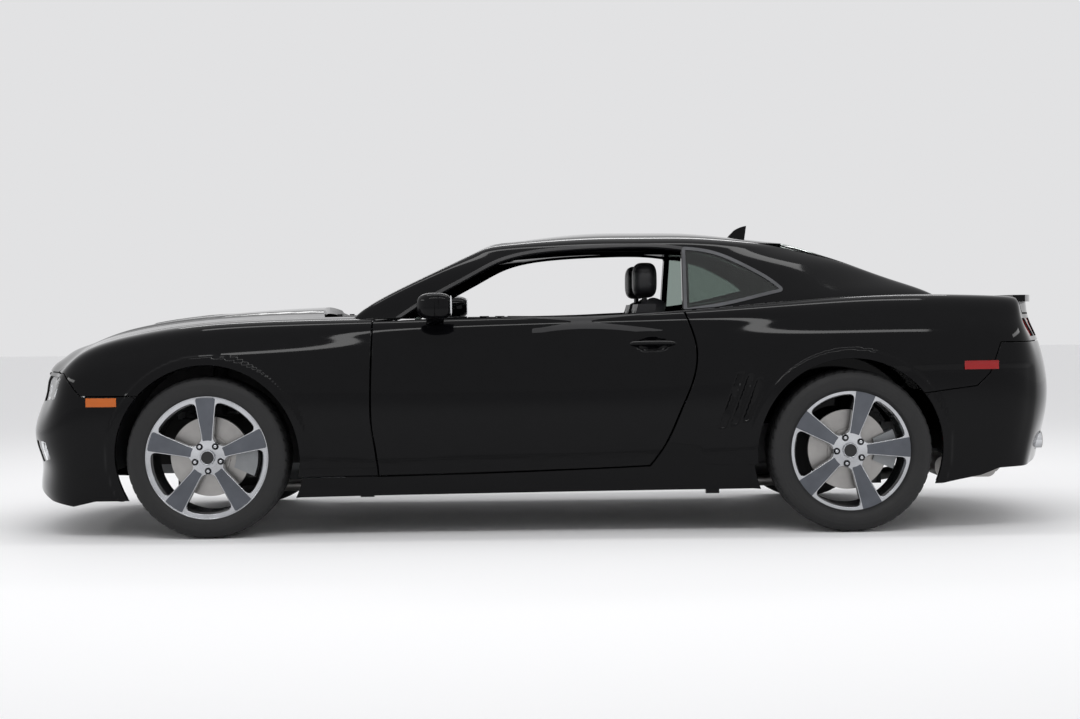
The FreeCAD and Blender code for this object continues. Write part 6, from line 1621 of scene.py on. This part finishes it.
# %% Seats
seat_y, bench_y = 0.385, 0.298
seat_lean, bench_lean = math.atan2(-0.230, 0.592), math.radians(-11.0)
pads = [
    ("seat_cushion", rounded_form((0.298, 0.248, 0.080), 4.5, cushion_shape),
     (0.000, seat_y, 0.392), 0.0, 0.0),
    ("seat_backrest", rounded_form((0.064, 0.242, 0.338), 4.0, back_shape),
     (-0.318, seat_y, 0.432), seat_lean, 0.318),
    ("head_rest", rounded_form((0.056, 0.136, 0.082), 3.4, rest_shape, 72, 48),
     (-0.490, seat_y, 1.132), 0.0, 0.0),
    ("bench_cushion", rounded_form((0.235, 0.285, 0.070), 4.5, cushion_shape),
     (-0.815, bench_y, 0.395), 0.0, 0.0),
    ("bench_back", rounded_form((0.060, 0.278, 0.255), 4.5, back_shape),
     (-0.985, bench_y, 0.440), bench_lean, 0.255),
]
for name, form, foot, lean, lift in pads:
    for pad in make_pair(name, moved(form, foot, lean, lift), leather, "body"):
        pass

# %% [markdown]
# ## Mirrors
# A painted shell on a short foot, flat behind, where a bright face stands for the glass. The
# shell is a rounded form with its rear pressed flat, and it rides the door that carries it.

# %% Mirrors
mirror_flat, mirror_y, mirror_z = -0.066, 0.9725, 1.0205


def mirror_shape(s, places):
    """Shell with a flat face to the rear and a nose that falls away outboard."""
    x = places[..., 0]
    places[..., 0] = np.where(x < mirror_flat, mirror_flat + 0.10 * (x - mirror_flat), x)
    places[..., 0] -= 0.020 * ramp((s[..., 1] - 0.1) / 0.9) * (s[..., 0] > 0)
    places[..., 2] += 0.004 * s[..., 1]
    return places


shell = moved(rounded_form((0.080, 0.071, 0.058), 3.0, mirror_shape, 80, 52),
              (0.461, mirror_y, mirror_z))
foot_line = smooth_path([(0.470, 0.862, 0.948), (0.466, 0.895, 0.955), (0.462, 0.930, 0.974)], 24)
foot = swept(foot_line, np.tile([1.0, 0.0, 0.0], (24, 1)), np.tile([0.0, 0.0, 1.0], (24, 1)),
             0.040, 0.013, 28, 0.15)
face = moved(rounded_form((0.0022, 0.060, 0.046), 3.2, None, 40, 24), (0.3915, mirror_y, mirror_z))
make_pair("mirror_shell", joined_parts([shell, foot]), paint, "door", "mirror")
make_pair("mirror_face", face, bright, "door")

# %% [markdown]
# ## Lamp bowls
# A headlamp is a bright bowl with a clear eye in it, behind a clear cover. Both are short turned
# profiles laid along the car, which give the lamps their depth without any light of their own.

# %% Lamp bowls behind the lenses
bowl = [(0.0001, -0.030), (0.018, -0.026), (0.034, -0.014), (0.0430, 0.0), (0.0455, 0.0022),
        (0.0480, 0.0), (0.0485, -0.012)]
bulb = [(0.0001, 0.004), (0.010, 0.0020), (0.019, -0.005), (0.0245, -0.016), (0.0250, -0.024)]


def scaled(profile, size):
    """The profile made larger or smaller."""
    return [(r * size, y * size) for r, y in profile]


lamp_spots = [(2.215, 0.585, 0.662, 1.0), (2.120, 0.700, 0.668, 0.92), (2.205, 0.684, 0.384, 0.74)]
for k, (x, y, z, size) in enumerate(lamp_spots):
    cup = moved(about_x(turned(scaled(bowl, size), 64, 0.004)), (x, y, z))
    lens = moved(about_x(turned(scaled(bulb, size), 48, 0.003)), (x, y, z))
    make_pair(f"lamp_bowl_{k}", cup, bright, "body")
    make_pair(f"lamp_eye_{k}", lens, clear, "body")
